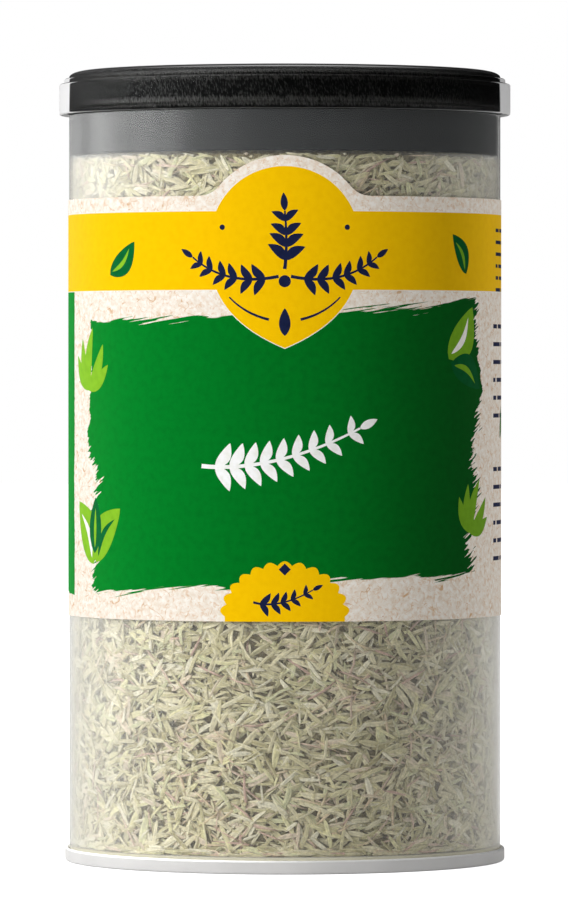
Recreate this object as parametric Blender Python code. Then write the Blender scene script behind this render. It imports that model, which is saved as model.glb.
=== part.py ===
# A clear plastic shaker can of dried thyme, with a tin end, a paper label, a black sprinkler insert
# that stands on the tube's rim and plugs into it, and a clear overcap pressed over the insert.
# Lengths are in metres, +Z is up, and the origin is the centre of the foot ring on the surface.
# The label's arch faces -Y.

import bmesh
import bpy
import math
import random
from mathutils import Vector

# Driving dimensions

TUBE_RADIUS = 0.0365
TUBE_WALL = 0.0004
TUBE_BOTTOM = 0.0010
TUBE_TOP = 0.1260
FIT_GAP = 0.00025
SEGMENTS = 48

FOOT_RADIUS = 0.03725
FOOT_HEIGHT = 0.0023
FOOT_METAL = 0.0005
FOOT_ROLL = 0.0004
PANEL_TOP = 0.0026
PANEL_BEADS = (0.0150, 0.0270)
BEAD_HALF_WIDTH = 0.0011
BEAD_DEPTH = 0.0004

CAP_RADIUS = 0.0382
CAP_BOTTOM = 0.1261
CAP_SHOULDER = 0.1313
CAP_STEP_RADIUS = 0.03735
CAP_STEP_TOP = 0.1322
CAP_CROWN_RADIUS = 0.0365
CAP_TOP = 0.1335
CAP_CROWN_FLAT = 0.0336
CAP_PANEL_RADIUS = 0.0306
CAP_PANEL_DROP = 0.0008
CAP_WALL = 0.0004
CAP_SKIRT_WALL = 0.0008
CAP_CLEARANCE = 0.00018
CAP_BEAD_GAP = 0.00035
CAP_ROUND_OFF = 0.0003
CROWN_STEPS = 3

PLUG_BOTTOM = 0.11916
PLUG_WALL = 0.0010
PLUG_CHAMFER = 0.0003
COLLAR_RADIUS = 0.0364
COLLAR_TOP = 0.1317
RIM_INNER_RADIUS = 0.0324
DECK_TOP = 0.1309
DECK_THICKNESS = 0.0012
ROD_LENGTH = 5 * DECK_THICKNESS
SPRINKLE_RADIUS = 0.0018
SPRINKLE_SIDES = 10
SPRINKLE_RINGS = ((0.0, 1), (0.0075, 6), (0.0150, 12))

LABEL_GAP = 0.00005
LABEL_PAPER = 0.00012
LABEL_BOTTOM = 0.0416
LABEL_TOP = 0.1117
LABEL_LAP_STEPS = 1
ARCH_TOP = 0.11834
ARCH_RADIUS = 0.0144
ARCH_FILLET = 0.0045
ARCH_SPLITS = 4
ARCH_REACH_STEPS = 3
BAND_BOTTOM = 0.0962
BAND_TOP = 0.10915
FIELD_BOTTOM = 0.0460
FIELD_TOP = 0.0935
FIELD_HALF_WIDTH = 0.0390

HEAP_RADIUS = 0.0349
HEAP_BOTTOM = 0.0029
HEAP_SHOULDER = 0.1184
HEAP_NECK_RADIUS = 0.0336
HEAP_TOP = 0.1262
HEAP_EASE = 0.0004
HEAP_CROWN_DROP = 0.0020
HEAP_CROWN_FALL = 0.0005
HEAP_CROWN_SHARE = 0.6
HEAP_SEGMENTS = 32
LEAF_OUTLINE = ((-0.5, 0), (-0.15, 0.5), (0.2, 0.42), (0.5, 0), (0.2, -0.42), (-0.15, -0.5))
LEAF_RIB = ((-0.22, 0), (0.25, 0))
LEAF_LENGTH = 0.0105
LEAF_WIDTH = 0.0036
LEAF_RISE = 0.0008
LEAF_EDGE = 0.0003
LEAF_ROOT = 0.0008
STEM_LENGTH = 0.0130
STEM_WIDTH = 0.0012
STEM_SHARE = 0.10
LEAF_SPACING = 0.0071
LEAF_JITTER = 0.25
LEAF_SIZES = (0.8, 1.15)
LEAF_BULGES = (0.75, 1.2)
WINDOW_MARGIN = 0.0001
WINDOWS = ((HEAP_BOTTOM, LABEL_BOTTOM), (LABEL_TOP, HEAP_SHOULDER))
SEED = 9


# Shared helpers

def clear_scene():
    for old in list(bpy.data.objects):
        bpy.data.objects.remove(old)


def finish(name, colour, roughness, metallic=0.0, alpha=1.0):
    """A Principled material with the piece's own colour."""
    material = bpy.data.materials.new(name)
    material.use_nodes = True
    shader = material.node_tree.nodes["Principled BSDF"]
    shader.inputs["Base Color"].default_value = (*colour, 1.0)
    shader.inputs["Roughness"].default_value = roughness
    shader.inputs["Metallic"].default_value = metallic
    shader.inputs["Alpha"].default_value = alpha
    material.diffuse_color = (*colour, alpha)
    return material


def add_object(name, mesh, *materials):
    piece = bpy.data.objects.new(name, mesh)
    bpy.context.scene.collection.objects.link(piece)
    for material in materials:
        mesh.materials.append(material)
    return piece


def arc(centre, radii, start_deg, end_deg, steps):
    """Points on an elliptical arc in the (radius, height) plane."""
    points = []
    for step in range(steps + 1):
        angle = math.radians(start_deg + (end_deg - start_deg) * step / steps)
        across = centre[0] + radii[0] * math.cos(angle)
        points.append((across, centre[1] + radii[1] * math.sin(angle)))
    return points


def turned(name, profile, material, segments=SEGMENTS):
    """Spins a (radius, height) outline round +Z. One that starts and ends off the axis is closed first."""
    shape = bmesh.new()
    points = [shape.verts.new((radius, 0, height)) for radius, height in profile]
    edges = [shape.edges.new(pair) for pair in zip(points, points[1:])]
    if profile[0][0] > 0:
        edges.append(shape.edges.new((points[-1], points[0])))
    bmesh.ops.spin(
        shape,
        geom=points + edges,
        axis=(0, 0, 1),
        cent=(0, 0, 0),
        angle=math.tau,
        steps=segments,
        use_merge=True,
    )
    bmesh.ops.remove_doubles(shape, verts=shape.verts, dist=1e-7)
    bmesh.ops.recalc_face_normals(shape, faces=shape.faces)
    mesh = bpy.data.meshes.new(name)
    shape.to_mesh(mesh)
    shape.free()
    mesh.shade_smooth()
    mesh.set_sharp_from_angle(angle=math.radians(30))
    return add_object(name, mesh, material)


# The clear tube, open at both ends

def make_tube():
    inner = TUBE_RADIUS - TUBE_WALL
    profile = [(inner, TUBE_BOTTOM), (TUBE_RADIUS, TUBE_BOTTOM), (TUBE_RADIUS, TUBE_TOP), (inner, TUBE_TOP)]
    turned("clear_tube", profile, finish("clear_plastic", (0.93, 0.95, 0.94), 0.06, alpha=0.25))


# The tin end: its rolled foot ring grips the tube in a groove and its panel is set up inside the ring

def beads(height):
    """Two shallow rings pressed into the panel, from the inner one outwards."""
    points = []
    for radius in PANEL_BEADS:
        points += [(radius - BEAD_HALF_WIDTH, height), (radius, height - BEAD_DEPTH)]
        points += [(radius + BEAD_HALF_WIDTH, height)]
    return points


def make_base():
    groove_outer = TUBE_RADIUS + FIT_GAP / 2
    groove_inner = TUBE_RADIUS - TUBE_WALL - FIT_GAP / 2
    groove_floor = TUBE_BOTTOM - FIT_GAP
    wall_inner = groove_inner - FOOT_METAL
    panel_bottom = PANEL_TOP - FOOT_METAL
    profile = [(0, PANEL_TOP)] + beads(PANEL_TOP)
    profile += [(groove_inner, PANEL_TOP), (groove_inner, groove_floor), (groove_outer, groove_floor)]
    profile += [(groove_outer, FOOT_HEIGHT), (FOOT_RADIUS - FOOT_ROLL, FOOT_HEIGHT)]
    profile += [(FOOT_RADIUS, FOOT_HEIGHT - FOOT_ROLL), (FOOT_RADIUS, FOOT_ROLL)]
    profile += [(FOOT_RADIUS - FOOT_ROLL, 0), (wall_inner + FOOT_ROLL, 0), (wall_inner, FOOT_ROLL)]
    profile += [(wall_inner, panel_bottom - FOOT_ROLL), (wall_inner - FOOT_ROLL, panel_bottom)]
    profile += reversed(beads(panel_bottom))
    profile += [(0, panel_bottom)]
    turned("base_end", profile, finish("tinplate", (0.72, 0.72, 0.73), 0.32, metallic=1.0))


# The black insert: a plug skirt inside the tube, a collar on its rim, a raised rim and a deck with holes

def insert_profile():
    plug_outer = TUBE_RADIUS - TUBE_WALL - FIT_GAP
    plug_inner = plug_outer - PLUG_WALL
    collar_bottom = TUBE_TOP + FIT_GAP
    rim_outer = CAP_CROWN_RADIUS - CAP_WALL - CAP_CLEARANCE
    rim_top = CAP_TOP - CAP_WALL - CAP_CLEARANCE
    deck_bottom = DECK_TOP - DECK_THICKNESS
    chamfer = PLUG_CHAMFER
    corner = (rim_outer - CAP_CROWN_FLAT, rim_top - COLLAR_TOP - chamfer)
    profile = [(0, DECK_TOP), (RIM_INNER_RADIUS, DECK_TOP)]
    profile += [(RIM_INNER_RADIUS, rim_top - chamfer), (RIM_INNER_RADIUS + chamfer, rim_top)]
    profile += arc((CAP_CROWN_FLAT, rim_top - corner[1]), corner, 90, 0, CROWN_STEPS)
    profile += [(rim_outer, COLLAR_TOP), (COLLAR_RADIUS, COLLAR_TOP - chamfer)]
    profile += [(COLLAR_RADIUS, collar_bottom + chamfer), (COLLAR_RADIUS - chamfer, collar_bottom)]
    profile += [(plug_outer, collar_bottom), (plug_outer, PLUG_BOTTOM + chamfer)]
    profile += [(plug_outer - chamfer, PLUG_BOTTOM), (plug_inner, PLUG_BOTTOM)]
    profile += [(plug_inner, deck_bottom), (0, deck_bottom)]
    return profile


def sprinkle_cutter():
    """One hidden mesh of upright rods, one for each hole in the deck."""
    shape = bmesh.new()
    for ring_radius, count in SPRINKLE_RINGS:
        for index in range(count):
            angle = math.tau * index / count
            rods = bmesh.ops.create_cone(
                shape,
                cap_ends=True,
                segments=SPRINKLE_SIDES,
                radius1=SPRINKLE_RADIUS,
                radius2=SPRINKLE_RADIUS,
                depth=ROD_LENGTH,
            )
            middle = Vector((math.cos(angle) * ring_radius, math.sin(angle) * ring_radius, DECK_TOP))
            bmesh.ops.translate(shape, verts=rods["verts"], vec=middle)
    mesh = bpy.data.meshes.new("sprinkle_rods")
    shape.to_mesh(mesh)
    shape.free()
    cutter = add_object("sprinkle_rods", mesh)
    cutter.hide_render = True
    cutter.display_type = "WIRE"
    return cutter


def make_insert():
    insert = turned("sifter_insert", insert_profile(), finish("black_plastic", (0.012, 0.012, 0.012), 0.45))
    holes = insert.modifiers.new("sprinkle_holes", "BOOLEAN")
    holes.operation = "DIFFERENCE"
    holes.object = sprinkle_cutter()


# The clear overcap: a recessed top panel, a rounded crown, a stepped shoulder and a beaded skirt

def crown_arc(wall, start_deg, end_deg):
    """The rounded shoulder between the cap's flat crown and its side, in from the outside by the wall."""
    reach = (CAP_CROWN_RADIUS - wall - CAP_CROWN_FLAT, CAP_TOP - CAP_STEP_TOP - CAP_ROUND_OFF)
    return arc((CAP_CROWN_FLAT, CAP_TOP - wall - reach[1]), reach, start_deg, end_deg, CROWN_STEPS)


def cap_outside():
    panel = CAP_TOP - CAP_PANEL_DROP
    trim = CAP_ROUND_OFF
    points = [(0, panel), (CAP_PANEL_RADIUS, panel), (CAP_PANEL_RADIUS + CAP_PANEL_DROP, CAP_TOP)]
    points += crown_arc(0, 90, 0)
    points += [(CAP_CROWN_RADIUS, CAP_STEP_TOP)]
    points += [(CAP_STEP_RADIUS - trim, CAP_STEP_TOP), (CAP_STEP_RADIUS, CAP_STEP_TOP - trim)]
    points += [(CAP_STEP_RADIUS, CAP_SHOULDER)]
    points += [(CAP_RADIUS - trim, CAP_SHOULDER), (CAP_RADIUS, CAP_SHOULDER - trim)]
    points += [(CAP_RADIUS, CAP_BOTTOM + trim), (CAP_RADIUS - trim, CAP_BOTTOM)]
    return points


def cap_inside():
    bead = TUBE_RADIUS + CAP_BEAD_GAP
    skirt = CAP_RADIUS - CAP_SKIRT_WALL
    step_top = CAP_STEP_TOP - CAP_WALL
    panel = CAP_TOP - CAP_PANEL_DROP - CAP_WALL
    points = [(skirt, CAP_BOTTOM), (bead, CAP_BOTTOM + CAP_WALL), (bead, CAP_BOTTOM + 2 * CAP_WALL)]
    points += [(skirt, CAP_BOTTOM + 3 * CAP_WALL), (skirt, CAP_SHOULDER - 2 * CAP_WALL)]
    points += [(bead, CAP_SHOULDER), (bead, step_top), (CAP_CROWN_RADIUS - CAP_WALL, step_top)]
    points += crown_arc(CAP_WALL, 0, 90)
    points += [(CAP_PANEL_RADIUS + CAP_PANEL_DROP + CAP_WALL / 2, CAP_TOP - CAP_WALL)]
    points += [(CAP_PANEL_RADIUS + CAP_WALL / 2, panel), (0, panel)]
    return points


def make_cap():
    material = finish("clear_cap_plastic", (0.90, 0.91, 0.91), 0.18, alpha=0.35)
    turned("overcap", cap_outside() + cap_inside(), material)


# The paper label: one sheet wrapped round the tube, with an arched top edge and a lap at the back

def label_top(along):
    """Height of the top edge at a distance along the sheet from the middle of the arch."""
    middle = ARCH_TOP - ARCH_RADIUS
    fillet_height = LABEL_TOP + ARCH_FILLET
    reach = ARCH_RADIUS + ARCH_FILLET
    foot = math.sqrt(reach**2 - (fillet_height - middle) ** 2)
    meet = foot * ARCH_RADIUS / reach
    distance = abs(along)
    if distance <= meet:
        return middle + math.sqrt(ARCH_RADIUS**2 - distance**2)
    if distance < foot:
        return fillet_height - math.sqrt(ARCH_FILLET**2 - (foot - distance) ** 2)
    return LABEL_TOP


def label_columns(step):
    """Distances along the sheet: the tube's own steps, with finer ones under the arch."""
    half = SEGMENTS // 2
    stops = {round(index * step, 9) for index in range(-half, half + LABEL_LAP_STEPS + 1)}
    fine = ARCH_SPLITS * ARCH_REACH_STEPS
    stops |= {round(index * step / ARCH_SPLITS, 9) for index in range(-fine, fine + 1)}
    stops |= {-FIELD_HALF_WIDTH, FIELD_HALF_WIDTH}
    return sorted(stops)


def make_label():
    inner = TUBE_RADIUS + LABEL_GAP
    lift = LABEL_PAPER + LABEL_GAP
    step = math.tau * inner / SEGMENTS
    columns = label_columns(step)
    lift_from = math.pi * inner - 2 * step
    rows = [LABEL_BOTTOM, FIELD_BOTTOM, FIELD_TOP, BAND_BOTTOM, BAND_TOP]
    shape = bmesh.new()
    sheets = {}
    for side, thickness in (("back", 0.0), ("front", LABEL_PAPER)):
        for column, along in enumerate(columns):
            raised = min(1.0, max(0.0, (along - lift_from) / step))
            radius = inner + lift * raised + thickness
            angle = along / inner - math.pi / 2
            for row, height in enumerate(rows + [label_top(along)]):
                place = (radius * math.cos(angle), radius * math.sin(angle), height)
                sheets[side, column, row] = shape.verts.new(place)
    paper, yellow, green = 0, 1, 2
    last_column, last_row = len(columns) - 1, len(rows)
    for column in range(last_column):
        middle = (columns[column] + columns[column + 1]) / 2
        for row in range(last_row):
            corners = [(column, row), (column + 1, row), (column + 1, row + 1), (column, row + 1)]
            front = shape.faces.new([sheets["front", *corner] for corner in corners])
            shape.faces.new([sheets["back", *corner] for corner in reversed(corners)])
            in_field = row == 1 and abs(middle) < FIELD_HALF_WIDTH
            front.material_index = green if in_field else yellow if row == 3 else paper
        for row, turn in ((0, 1), (last_row, -1)):
            edge = [sheets["back", column, row], sheets["back", column + 1, row]]
            edge += [sheets["front", column + 1, row], sheets["front", column, row]]
            shape.faces.new(edge[::turn])
    for column, turn in ((0, -1), (last_column, 1)):
        for row in range(last_row):
            edge = [sheets["back", column, row], sheets["back", column, row + 1]]
            edge += [sheets["front", column, row + 1], sheets["front", column, row]]
            shape.faces.new(edge[::turn])
    bmesh.ops.recalc_face_normals(shape, faces=shape.faces)
    mesh = bpy.data.meshes.new("label")
    shape.to_mesh(mesh)
    shape.free()
    mesh.shade_smooth()
    mesh.set_sharp_from_angle(angle=math.radians(30))
    add_object(
        "label", mesh,
        finish("label_paper", (0.86, 0.79, 0.71), 0.75),
        finish("label_yellow_ink", (0.90, 0.56, 0.0), 0.55),
        finish("label_green_ink", (0.0, 0.20, 0.018), 0.55),
    )


# The dried thyme: one settled heap, with larger-than-life leaves and stalks pressed against the wall

def heap_place(angle, height, along, up, rise):
    """A point near the heap's side: along and up are distances on the surface, rise is outwards."""
    turned_by = angle + along / HEAP_RADIUS
    radius = HEAP_RADIUS + rise
    return Vector((radius * math.cos(turned_by), radius * math.sin(turned_by), height + up))


def leaf_mesh(name, angle, height, tilt, length, width, bulge):
    """A lens-shaped blade with a raised rib. Its underside is sunk into the heap."""
    rings = [(LEAF_OUTLINE, -LEAF_ROOT), (LEAF_OUTLINE, LEAF_EDGE * bulge), (LEAF_RIB, LEAF_RISE * bulge)]
    points = []
    for ring, rise in rings:
        for share_along, share_across in ring:
            flat = (share_along * length, share_across * width)
            along = flat[0] * math.cos(tilt) - flat[1] * math.sin(tilt)
            up = flat[0] * math.sin(tilt) + flat[1] * math.cos(tilt)
            points.append(heap_place(angle, height, along, up, rise))
    sides = [(i, i + 6, (i + 1) % 6 + 6, (i + 1) % 6) for i in range(6)]
    crown = [(6, 12, 7), (7, 12, 13, 8), (8, 13, 9), (9, 13, 10), (10, 13, 12, 11), (11, 12, 6)]
    mesh = bpy.data.meshes.new(name)
    mesh.from_pydata(points, [], sides + crown + [(0, 1, 2, 3, 4, 5)])
    shape = bmesh.new()
    shape.from_mesh(mesh)
    bmesh.ops.recalc_face_normals(shape, faces=shape.faces)
    shape.to_mesh(mesh)
    shape.free()
    return mesh


def leaf_places(draw):
    """Jittered rows over both clear windows of the tube: (angle, height) pairs."""
    for low, high in WINDOWS:
        rows = max(1, round((high - low) / LEAF_SPACING))
        row_height = (high - low) / rows
        columns = round(math.tau * HEAP_RADIUS / LEAF_SPACING)
        for row in range(rows):
            for column in range(columns):
                turn = (column + 0.5 * (row % 2) + draw.uniform(-LEAF_JITTER, LEAF_JITTER)) / columns
                height = low + (row + 0.5 + draw.uniform(-LEAF_JITTER, LEAF_JITTER)) * row_height
                yield math.tau * turn, height


def tilt_within(draw, height, low, high, length, width):
    """A random tilt of the blade, laid flatter near the heap's ends so that its tips stay in the heap."""
    tilt = draw.uniform(-math.pi / 2, math.pi / 2)
    room = min(height - low, high - height) - width / 2
    steepest = math.asin(min(1.0, max(0.0, 2 * room / length)))
    return max(-steepest, min(steepest, tilt))


def add_leaves(collection):
    draw = random.Random(SEED)
    low, high = HEAP_BOTTOM + WINDOW_MARGIN, HEAP_SHOULDER - WINDOW_MARGIN
    for count, (angle, height) in enumerate(leaf_places(draw)):
        stalk = draw.random() < STEM_SHARE
        size = draw.uniform(*LEAF_SIZES)
        length = (STEM_LENGTH if stalk else LEAF_LENGTH) * size
        width = STEM_WIDTH if stalk else LEAF_WIDTH * size
        height = min(max(height, low + width / 2), high - width / 2)
        tilt = tilt_within(draw, height, low, high, length, width)
        bulge = draw.uniform(*LEAF_BULGES)
        mesh = leaf_mesh(f"leaf_{count:03d}", angle, height, tilt, length, width, bulge)
        collection.objects.link(bpy.data.objects.new(mesh.name, mesh))


def make_heap():
    profile = [(0, HEAP_BOTTOM), (HEAP_RADIUS, HEAP_BOTTOM), (HEAP_RADIUS, HEAP_SHOULDER)]
    profile += [(HEAP_NECK_RADIUS, HEAP_SHOULDER + HEAP_EASE), (HEAP_NECK_RADIUS, HEAP_TOP - HEAP_CROWN_DROP)]
    profile += [(HEAP_CROWN_SHARE * HEAP_NECK_RADIUS, HEAP_TOP - HEAP_CROWN_FALL), (0, HEAP_TOP)]
    heap = turned("thyme_fill", profile, finish("dried_thyme", (0.30, 0.29, 0.18), 0.9), HEAP_SEGMENTS)
    leaves = bpy.data.collections.new("leaves")
    bpy.context.scene.collection.children.link(leaves)
    add_leaves(leaves)
    union = heap.modifiers.new("leaves", "BOOLEAN")
    union.operation = "UNION"
    union.operand_type = "COLLECTION"
    union.collection = leaves
    union.solver = "MANIFOLD"
    bpy.context.view_layer.update()
    graph = bpy.context.evaluated_depsgraph_get()
    joined = bpy.data.meshes.new_from_object(heap.evaluated_get(graph))
    heap.modifiers.clear()
    heap.data = joined
    for leaf in list(leaves.objects):
        bpy.data.objects.remove(leaf)
    bpy.data.collections.remove(leaves)


clear_scene()
make_tube()
make_base()
make_insert()
make_cap()
make_label()
make_heap()
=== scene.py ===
# %% [markdown]
# A clear plastic can of dried thyme, dressed for a picture.
#
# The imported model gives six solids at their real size: tin end, clear tube, label, black sprinkler
# insert, clear overcap and the heap of thyme. This lesson makes a fine piece for each of them in the
# same place, with the finish that the real one has. First come the frame and the sizes read from it.

# %% Load the frame and read its sizes
import math

import bmesh
import bpy
import numpy as np
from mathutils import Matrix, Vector
from mathutils.geometry import delaunay_2d_cdt


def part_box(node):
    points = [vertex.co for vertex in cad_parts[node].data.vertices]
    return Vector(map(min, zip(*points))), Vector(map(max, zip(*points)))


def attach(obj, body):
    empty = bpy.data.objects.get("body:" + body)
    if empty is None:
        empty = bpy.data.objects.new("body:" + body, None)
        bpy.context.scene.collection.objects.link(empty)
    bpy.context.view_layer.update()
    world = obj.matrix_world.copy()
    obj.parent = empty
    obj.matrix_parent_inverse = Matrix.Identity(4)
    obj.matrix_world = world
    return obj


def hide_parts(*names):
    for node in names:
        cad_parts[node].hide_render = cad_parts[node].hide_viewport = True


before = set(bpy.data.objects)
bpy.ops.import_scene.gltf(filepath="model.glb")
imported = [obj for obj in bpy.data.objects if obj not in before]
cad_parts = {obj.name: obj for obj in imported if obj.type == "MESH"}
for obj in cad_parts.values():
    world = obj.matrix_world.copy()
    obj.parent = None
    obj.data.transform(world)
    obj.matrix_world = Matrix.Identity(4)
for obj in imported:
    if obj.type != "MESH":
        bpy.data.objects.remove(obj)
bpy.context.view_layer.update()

MM = 0.001


def reach(node):
    """(lowest z, highest z, outer radius) of a CAD node, in metres."""
    low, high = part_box(node)
    return low.z, high.z, high.x


tube_low, tube_high, tube_radius = reach("clear_tube")
foot_low, panel_top, foot_radius = reach("base_end")
cap_low, cap_high, cap_radius = reach("overcap")
plug_low, rim_top, collar_radius = reach("sifter_insert")
label_low, arch_top, label_radius = reach("label")
heap_low, heap_high, _ = reach("thyme_fill")
print(f"the can is {cap_high / MM:.1f} mm tall and its tube is {2 * tube_radius / MM:.1f} mm across")

# %% [markdown]
# The camera stands a little over a metre away with a long lens, so the can's sides stay parallel.
# Its height and its slight downward pitch come from how much the rims bow in the picture: a rim at
# eye level looks straight, and one below it sags.

# %% Camera
CAMERA_AWAY = 1.218
CAMERA_HEIGHT = 83.09 * MM
AIM_HEIGHT = 68.6 * MM
AIM_SIDE = -0.13 * MM
LENS_MM = 284.3
SENSOR_MM = 36.0

camera_data = bpy.data.cameras.new("camera")
camera_data.lens = LENS_MM
camera_data.sensor_width = SENSOR_MM
camera = bpy.data.objects.new("camera", camera_data)
bpy.context.scene.collection.objects.link(camera)
camera.location = (AIM_SIDE, -CAMERA_AWAY, CAMERA_HEIGHT)
sight = Vector((AIM_SIDE, 0, AIM_HEIGHT)) - camera.location
camera.rotation_euler = sight.to_track_quat("-Z", "Y").to_euler()
bpy.context.scene.camera = camera
print(f"the camera looks down by {math.degrees(math.atan2(-sight.z, sight.y)):.2f} degrees")

# %% [markdown]
# Every finish here is built from shader nodes. One helper adds a node, fills or links its inputs and
# gives back one of its outputs, so a finish reads from top to bottom. Colours are written as sRGB hex
# codes. Blender works in linear light, so one function turns them.

# %% Node helper and colours


def put(tree, kind, inputs=(), out=0, stops=(), **settings):
    """Adds a node, sets its options, fills or links its inputs, and gives back one of its outputs."""
    made = tree.nodes.new("ShaderNode" + kind)
    for name, value in settings.items():
        setattr(made, name, value)
    for name, value in inputs.items() if isinstance(inputs, dict) else enumerate(inputs):
        if isinstance(value, bpy.types.NodeSocket):
            tree.links.new(value, made.inputs[name])
        else:
            made.inputs[name].default_value = value
    for _ in stops[2:]:
        made.color_ramp.elements.new(0.5)
    for index, (position, colour) in enumerate(stops):
        made.color_ramp.elements[index].position = position
        made.color_ramp.elements[index].color = colour
    return made.outputs if out is None else made.outputs[out]


def srgb(code):
    """A linear colour from an sRGB hex code such as ffcc00."""
    parts = [int(code[i : i + 2], 16) / 255 for i in (0, 2, 4)]
    linear = [p / 12.92 if p <= 0.04045 else ((p + 0.055) / 1.055) ** 2.4 for p in parts]
    return (*linear, 1.0)


def grey(level):
    """A linear grey."""
    return (level, level, level, 1.0)


# %% [markdown]
# A pack shot like this one is lit by a big soft light at the left and hardly anything at the right,
# in a white surround. So the world is split by kind of ray. What the camera sees is white. What
# lights the pieces is a dim even fill. What glossy plastic mirrors is a bright left side that falls
# away to a dark right side, and that is what whitens the tube's left edge.

# %% World
FILL_STRENGTH = 0.32
SOFTBOX_AZIMUTH = -90
MIRRORED_SCALE = 3.0
AROUND = ((0.0, 0.02), (0.5, 0.01), (0.6, 0.04), (0.69, 0.08), (0.73, 0.25),
          (0.86, 0.28), (0.9, 0.6), (0.94, 1.4), (1.0, 1.85))
ABOVE = ((0.0, 1.8), (0.3, 1.1), (0.5, 0.12), (1.0, 0.16))

world = bpy.data.worlds.new("studio")
bpy.context.scene.world = world
world.use_nodes = True
world.cycles.sampling_method = "NONE"
air = world.node_tree
air.nodes.clear()
direction = put(air, "TexCoord", out="Generated")
parts = put(air, "SeparateXYZ", {"Vector": direction}, out=None)
turn = math.radians(SOFTBOX_AZIMUTH)
softbox_way = (math.sin(turn), -math.cos(turn), 0.0)
near = put(air, "VectorMath", (direction, softbox_way), out="Value", operation="DOT_PRODUCT")
beside = put(air, "MapRange", {"Value": near, "From Min": -1.0})
around = put(air, "ValToRGB", {"Fac": beside}, stops=[(at, grey(level)) for at, level in AROUND])
across = put(air, "MapRange", {"Value": parts["X"], "From Min": -1.0})
above = put(air, "ValToRGB", {"Fac": across}, stops=[(at, grey(level)) for at, level in ABOVE])
upright = put(air, "Math", (parts["Z"],), operation="ABSOLUTE")
height = put(air, "MapRange", {"Value": upright, "From Min": 0.3, "From Max": 0.7})
mirrored = put(air, "Mix", {"Factor": height, 6: around, 7: above}, out=2, data_type="RGBA")
fill = put(air, "Background", {"Color": grey(1.0), "Strength": FILL_STRENGTH})
surround = put(air, "Background", {"Color": mirrored, "Strength": MIRRORED_SCALE})
backdrop = put(air, "Background", {"Color": grey(1.0), "Strength": 1.0})
ray = put(air, "LightPath", out=None)
lit = put(air, "MixShader", (ray["Is Glossy Ray"], fill, surround))
seen = put(air, "MixShader", (ray["Is Camera Ray"], lit, backdrop))
put(air, "OutputWorld", {"Surface": seen}, out=None)
bpy.context.scene.view_settings.view_transform = "Standard"
print("the world has", len(air.nodes), "nodes")

# %% [markdown]
# Three area lights shape the can: a key at the front left, a rim light behind at the right, and a fill
# behind that shines through the clear wall. A large square gives the soft shadows of a light tent.
# Glossy plastic doesn't mirror them, because the world already holds all that it mirrors.

# %% Lights


def softbox(name, azimuth_deg, height, away, size, power):
    """A square area light aimed at the can's middle. Azimuth 0 is in front, and +90 is at the right."""
    turn = math.radians(azimuth_deg)
    data = bpy.data.lights.new(name, "AREA")
    data.shape = "SQUARE"
    data.size = size
    data.energy = power
    light = bpy.data.objects.new(name, data)
    bpy.context.scene.collection.objects.link(light)
    light.location = (away * math.sin(turn), -away * math.cos(turn), height)
    aim = Vector((0, 0, cap_high / 2)) - light.location
    light.rotation_euler = aim.to_track_quat("-Z", "Y").to_euler()
    light.visible_glossy = False
    return light


softbox("key", -52, 0.55, 1.3, 0.7, 12.9)
softbox("rim", 130, 0.30, 1.2, 0.6, 3.7)
softbox("back_fill", 218, 0.60, 1.5, 1.0, 6.0)
print("the lights are", [light.name for light in bpy.data.lights])

# %% [markdown]
# The can stands on a white sweep with no edge in the picture, and a large plane does for it. It is a
# little brighter to the camera than it is to the can, so it joins the white behind the can, while the
# light that it throws back stays natural. It is staging, and no part of the can.

# %% Floor
FLOOR_SIZE = 8.0
FLOOR_GAP = 0.02 * MM
bpy.ops.object.select_all(action="DESELECT")
bpy.ops.mesh.primitive_plane_add(size=FLOOR_SIZE, location=(0, 0, foot_low - FLOOR_GAP))
floor = bpy.context.object
floor.name = "floor"
bpy.ops.object.transform_apply(location=True, rotation=True, scale=True)
floor_white = bpy.data.materials.new("studio_white")
floor_white.use_nodes = True
paint = floor_white.node_tree
paint.nodes.clear()
matt = put(paint, "BsdfDiffuse", {"Color": grey(0.9)})
glow = put(paint, "Emission", {"Color": grey(1.0), "Strength": 0.85})
both = put(paint, "AddShader", (matt, glow))
looked_at = put(paint, "LightPath", out="Is Camera Ray")
surface = put(paint, "MixShader", (looked_at, matt, both))
put(paint, "OutputMaterial", {"Surface": surface}, out=None)
floor.data.materials.append(floor_white)
print(f"the floor lies {FLOOR_GAP / MM:.2f} mm under the can's foot")

# %% [markdown]
# The tin end, the tube, the insert and the overcap are all turned shapes. A lathe shape can be spun
# from an outline, or drawn out ring by ring: start with a circle, then extrude and resize it for each
# corner of the outline. Ring by ring keeps every corner where the outline puts it, so that is the way
# here, and it serves for leaves and stalks too.

# %% Draw a shape out ring by ring
SIDES = 192
POLE = 0.5 * MM
SHARP_DEG = 28


def start_ring(name, sides, centre, radius):
    """A circle in edit mode, all selected, as the start of a drawn-out shape."""
    bpy.ops.object.select_all(action="DESELECT")
    bpy.ops.mesh.primitive_circle_add(vertices=sides, radius=radius, location=centre)
    made = bpy.context.object
    made.name = name
    bpy.ops.object.transform_apply(location=True, rotation=True, scale=True)
    bpy.ops.object.mode_set(mode="EDIT")
    bpy.ops.mesh.select_mode(type="EDGE")
    bpy.ops.mesh.select_all(action="SELECT")
    return made


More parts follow.
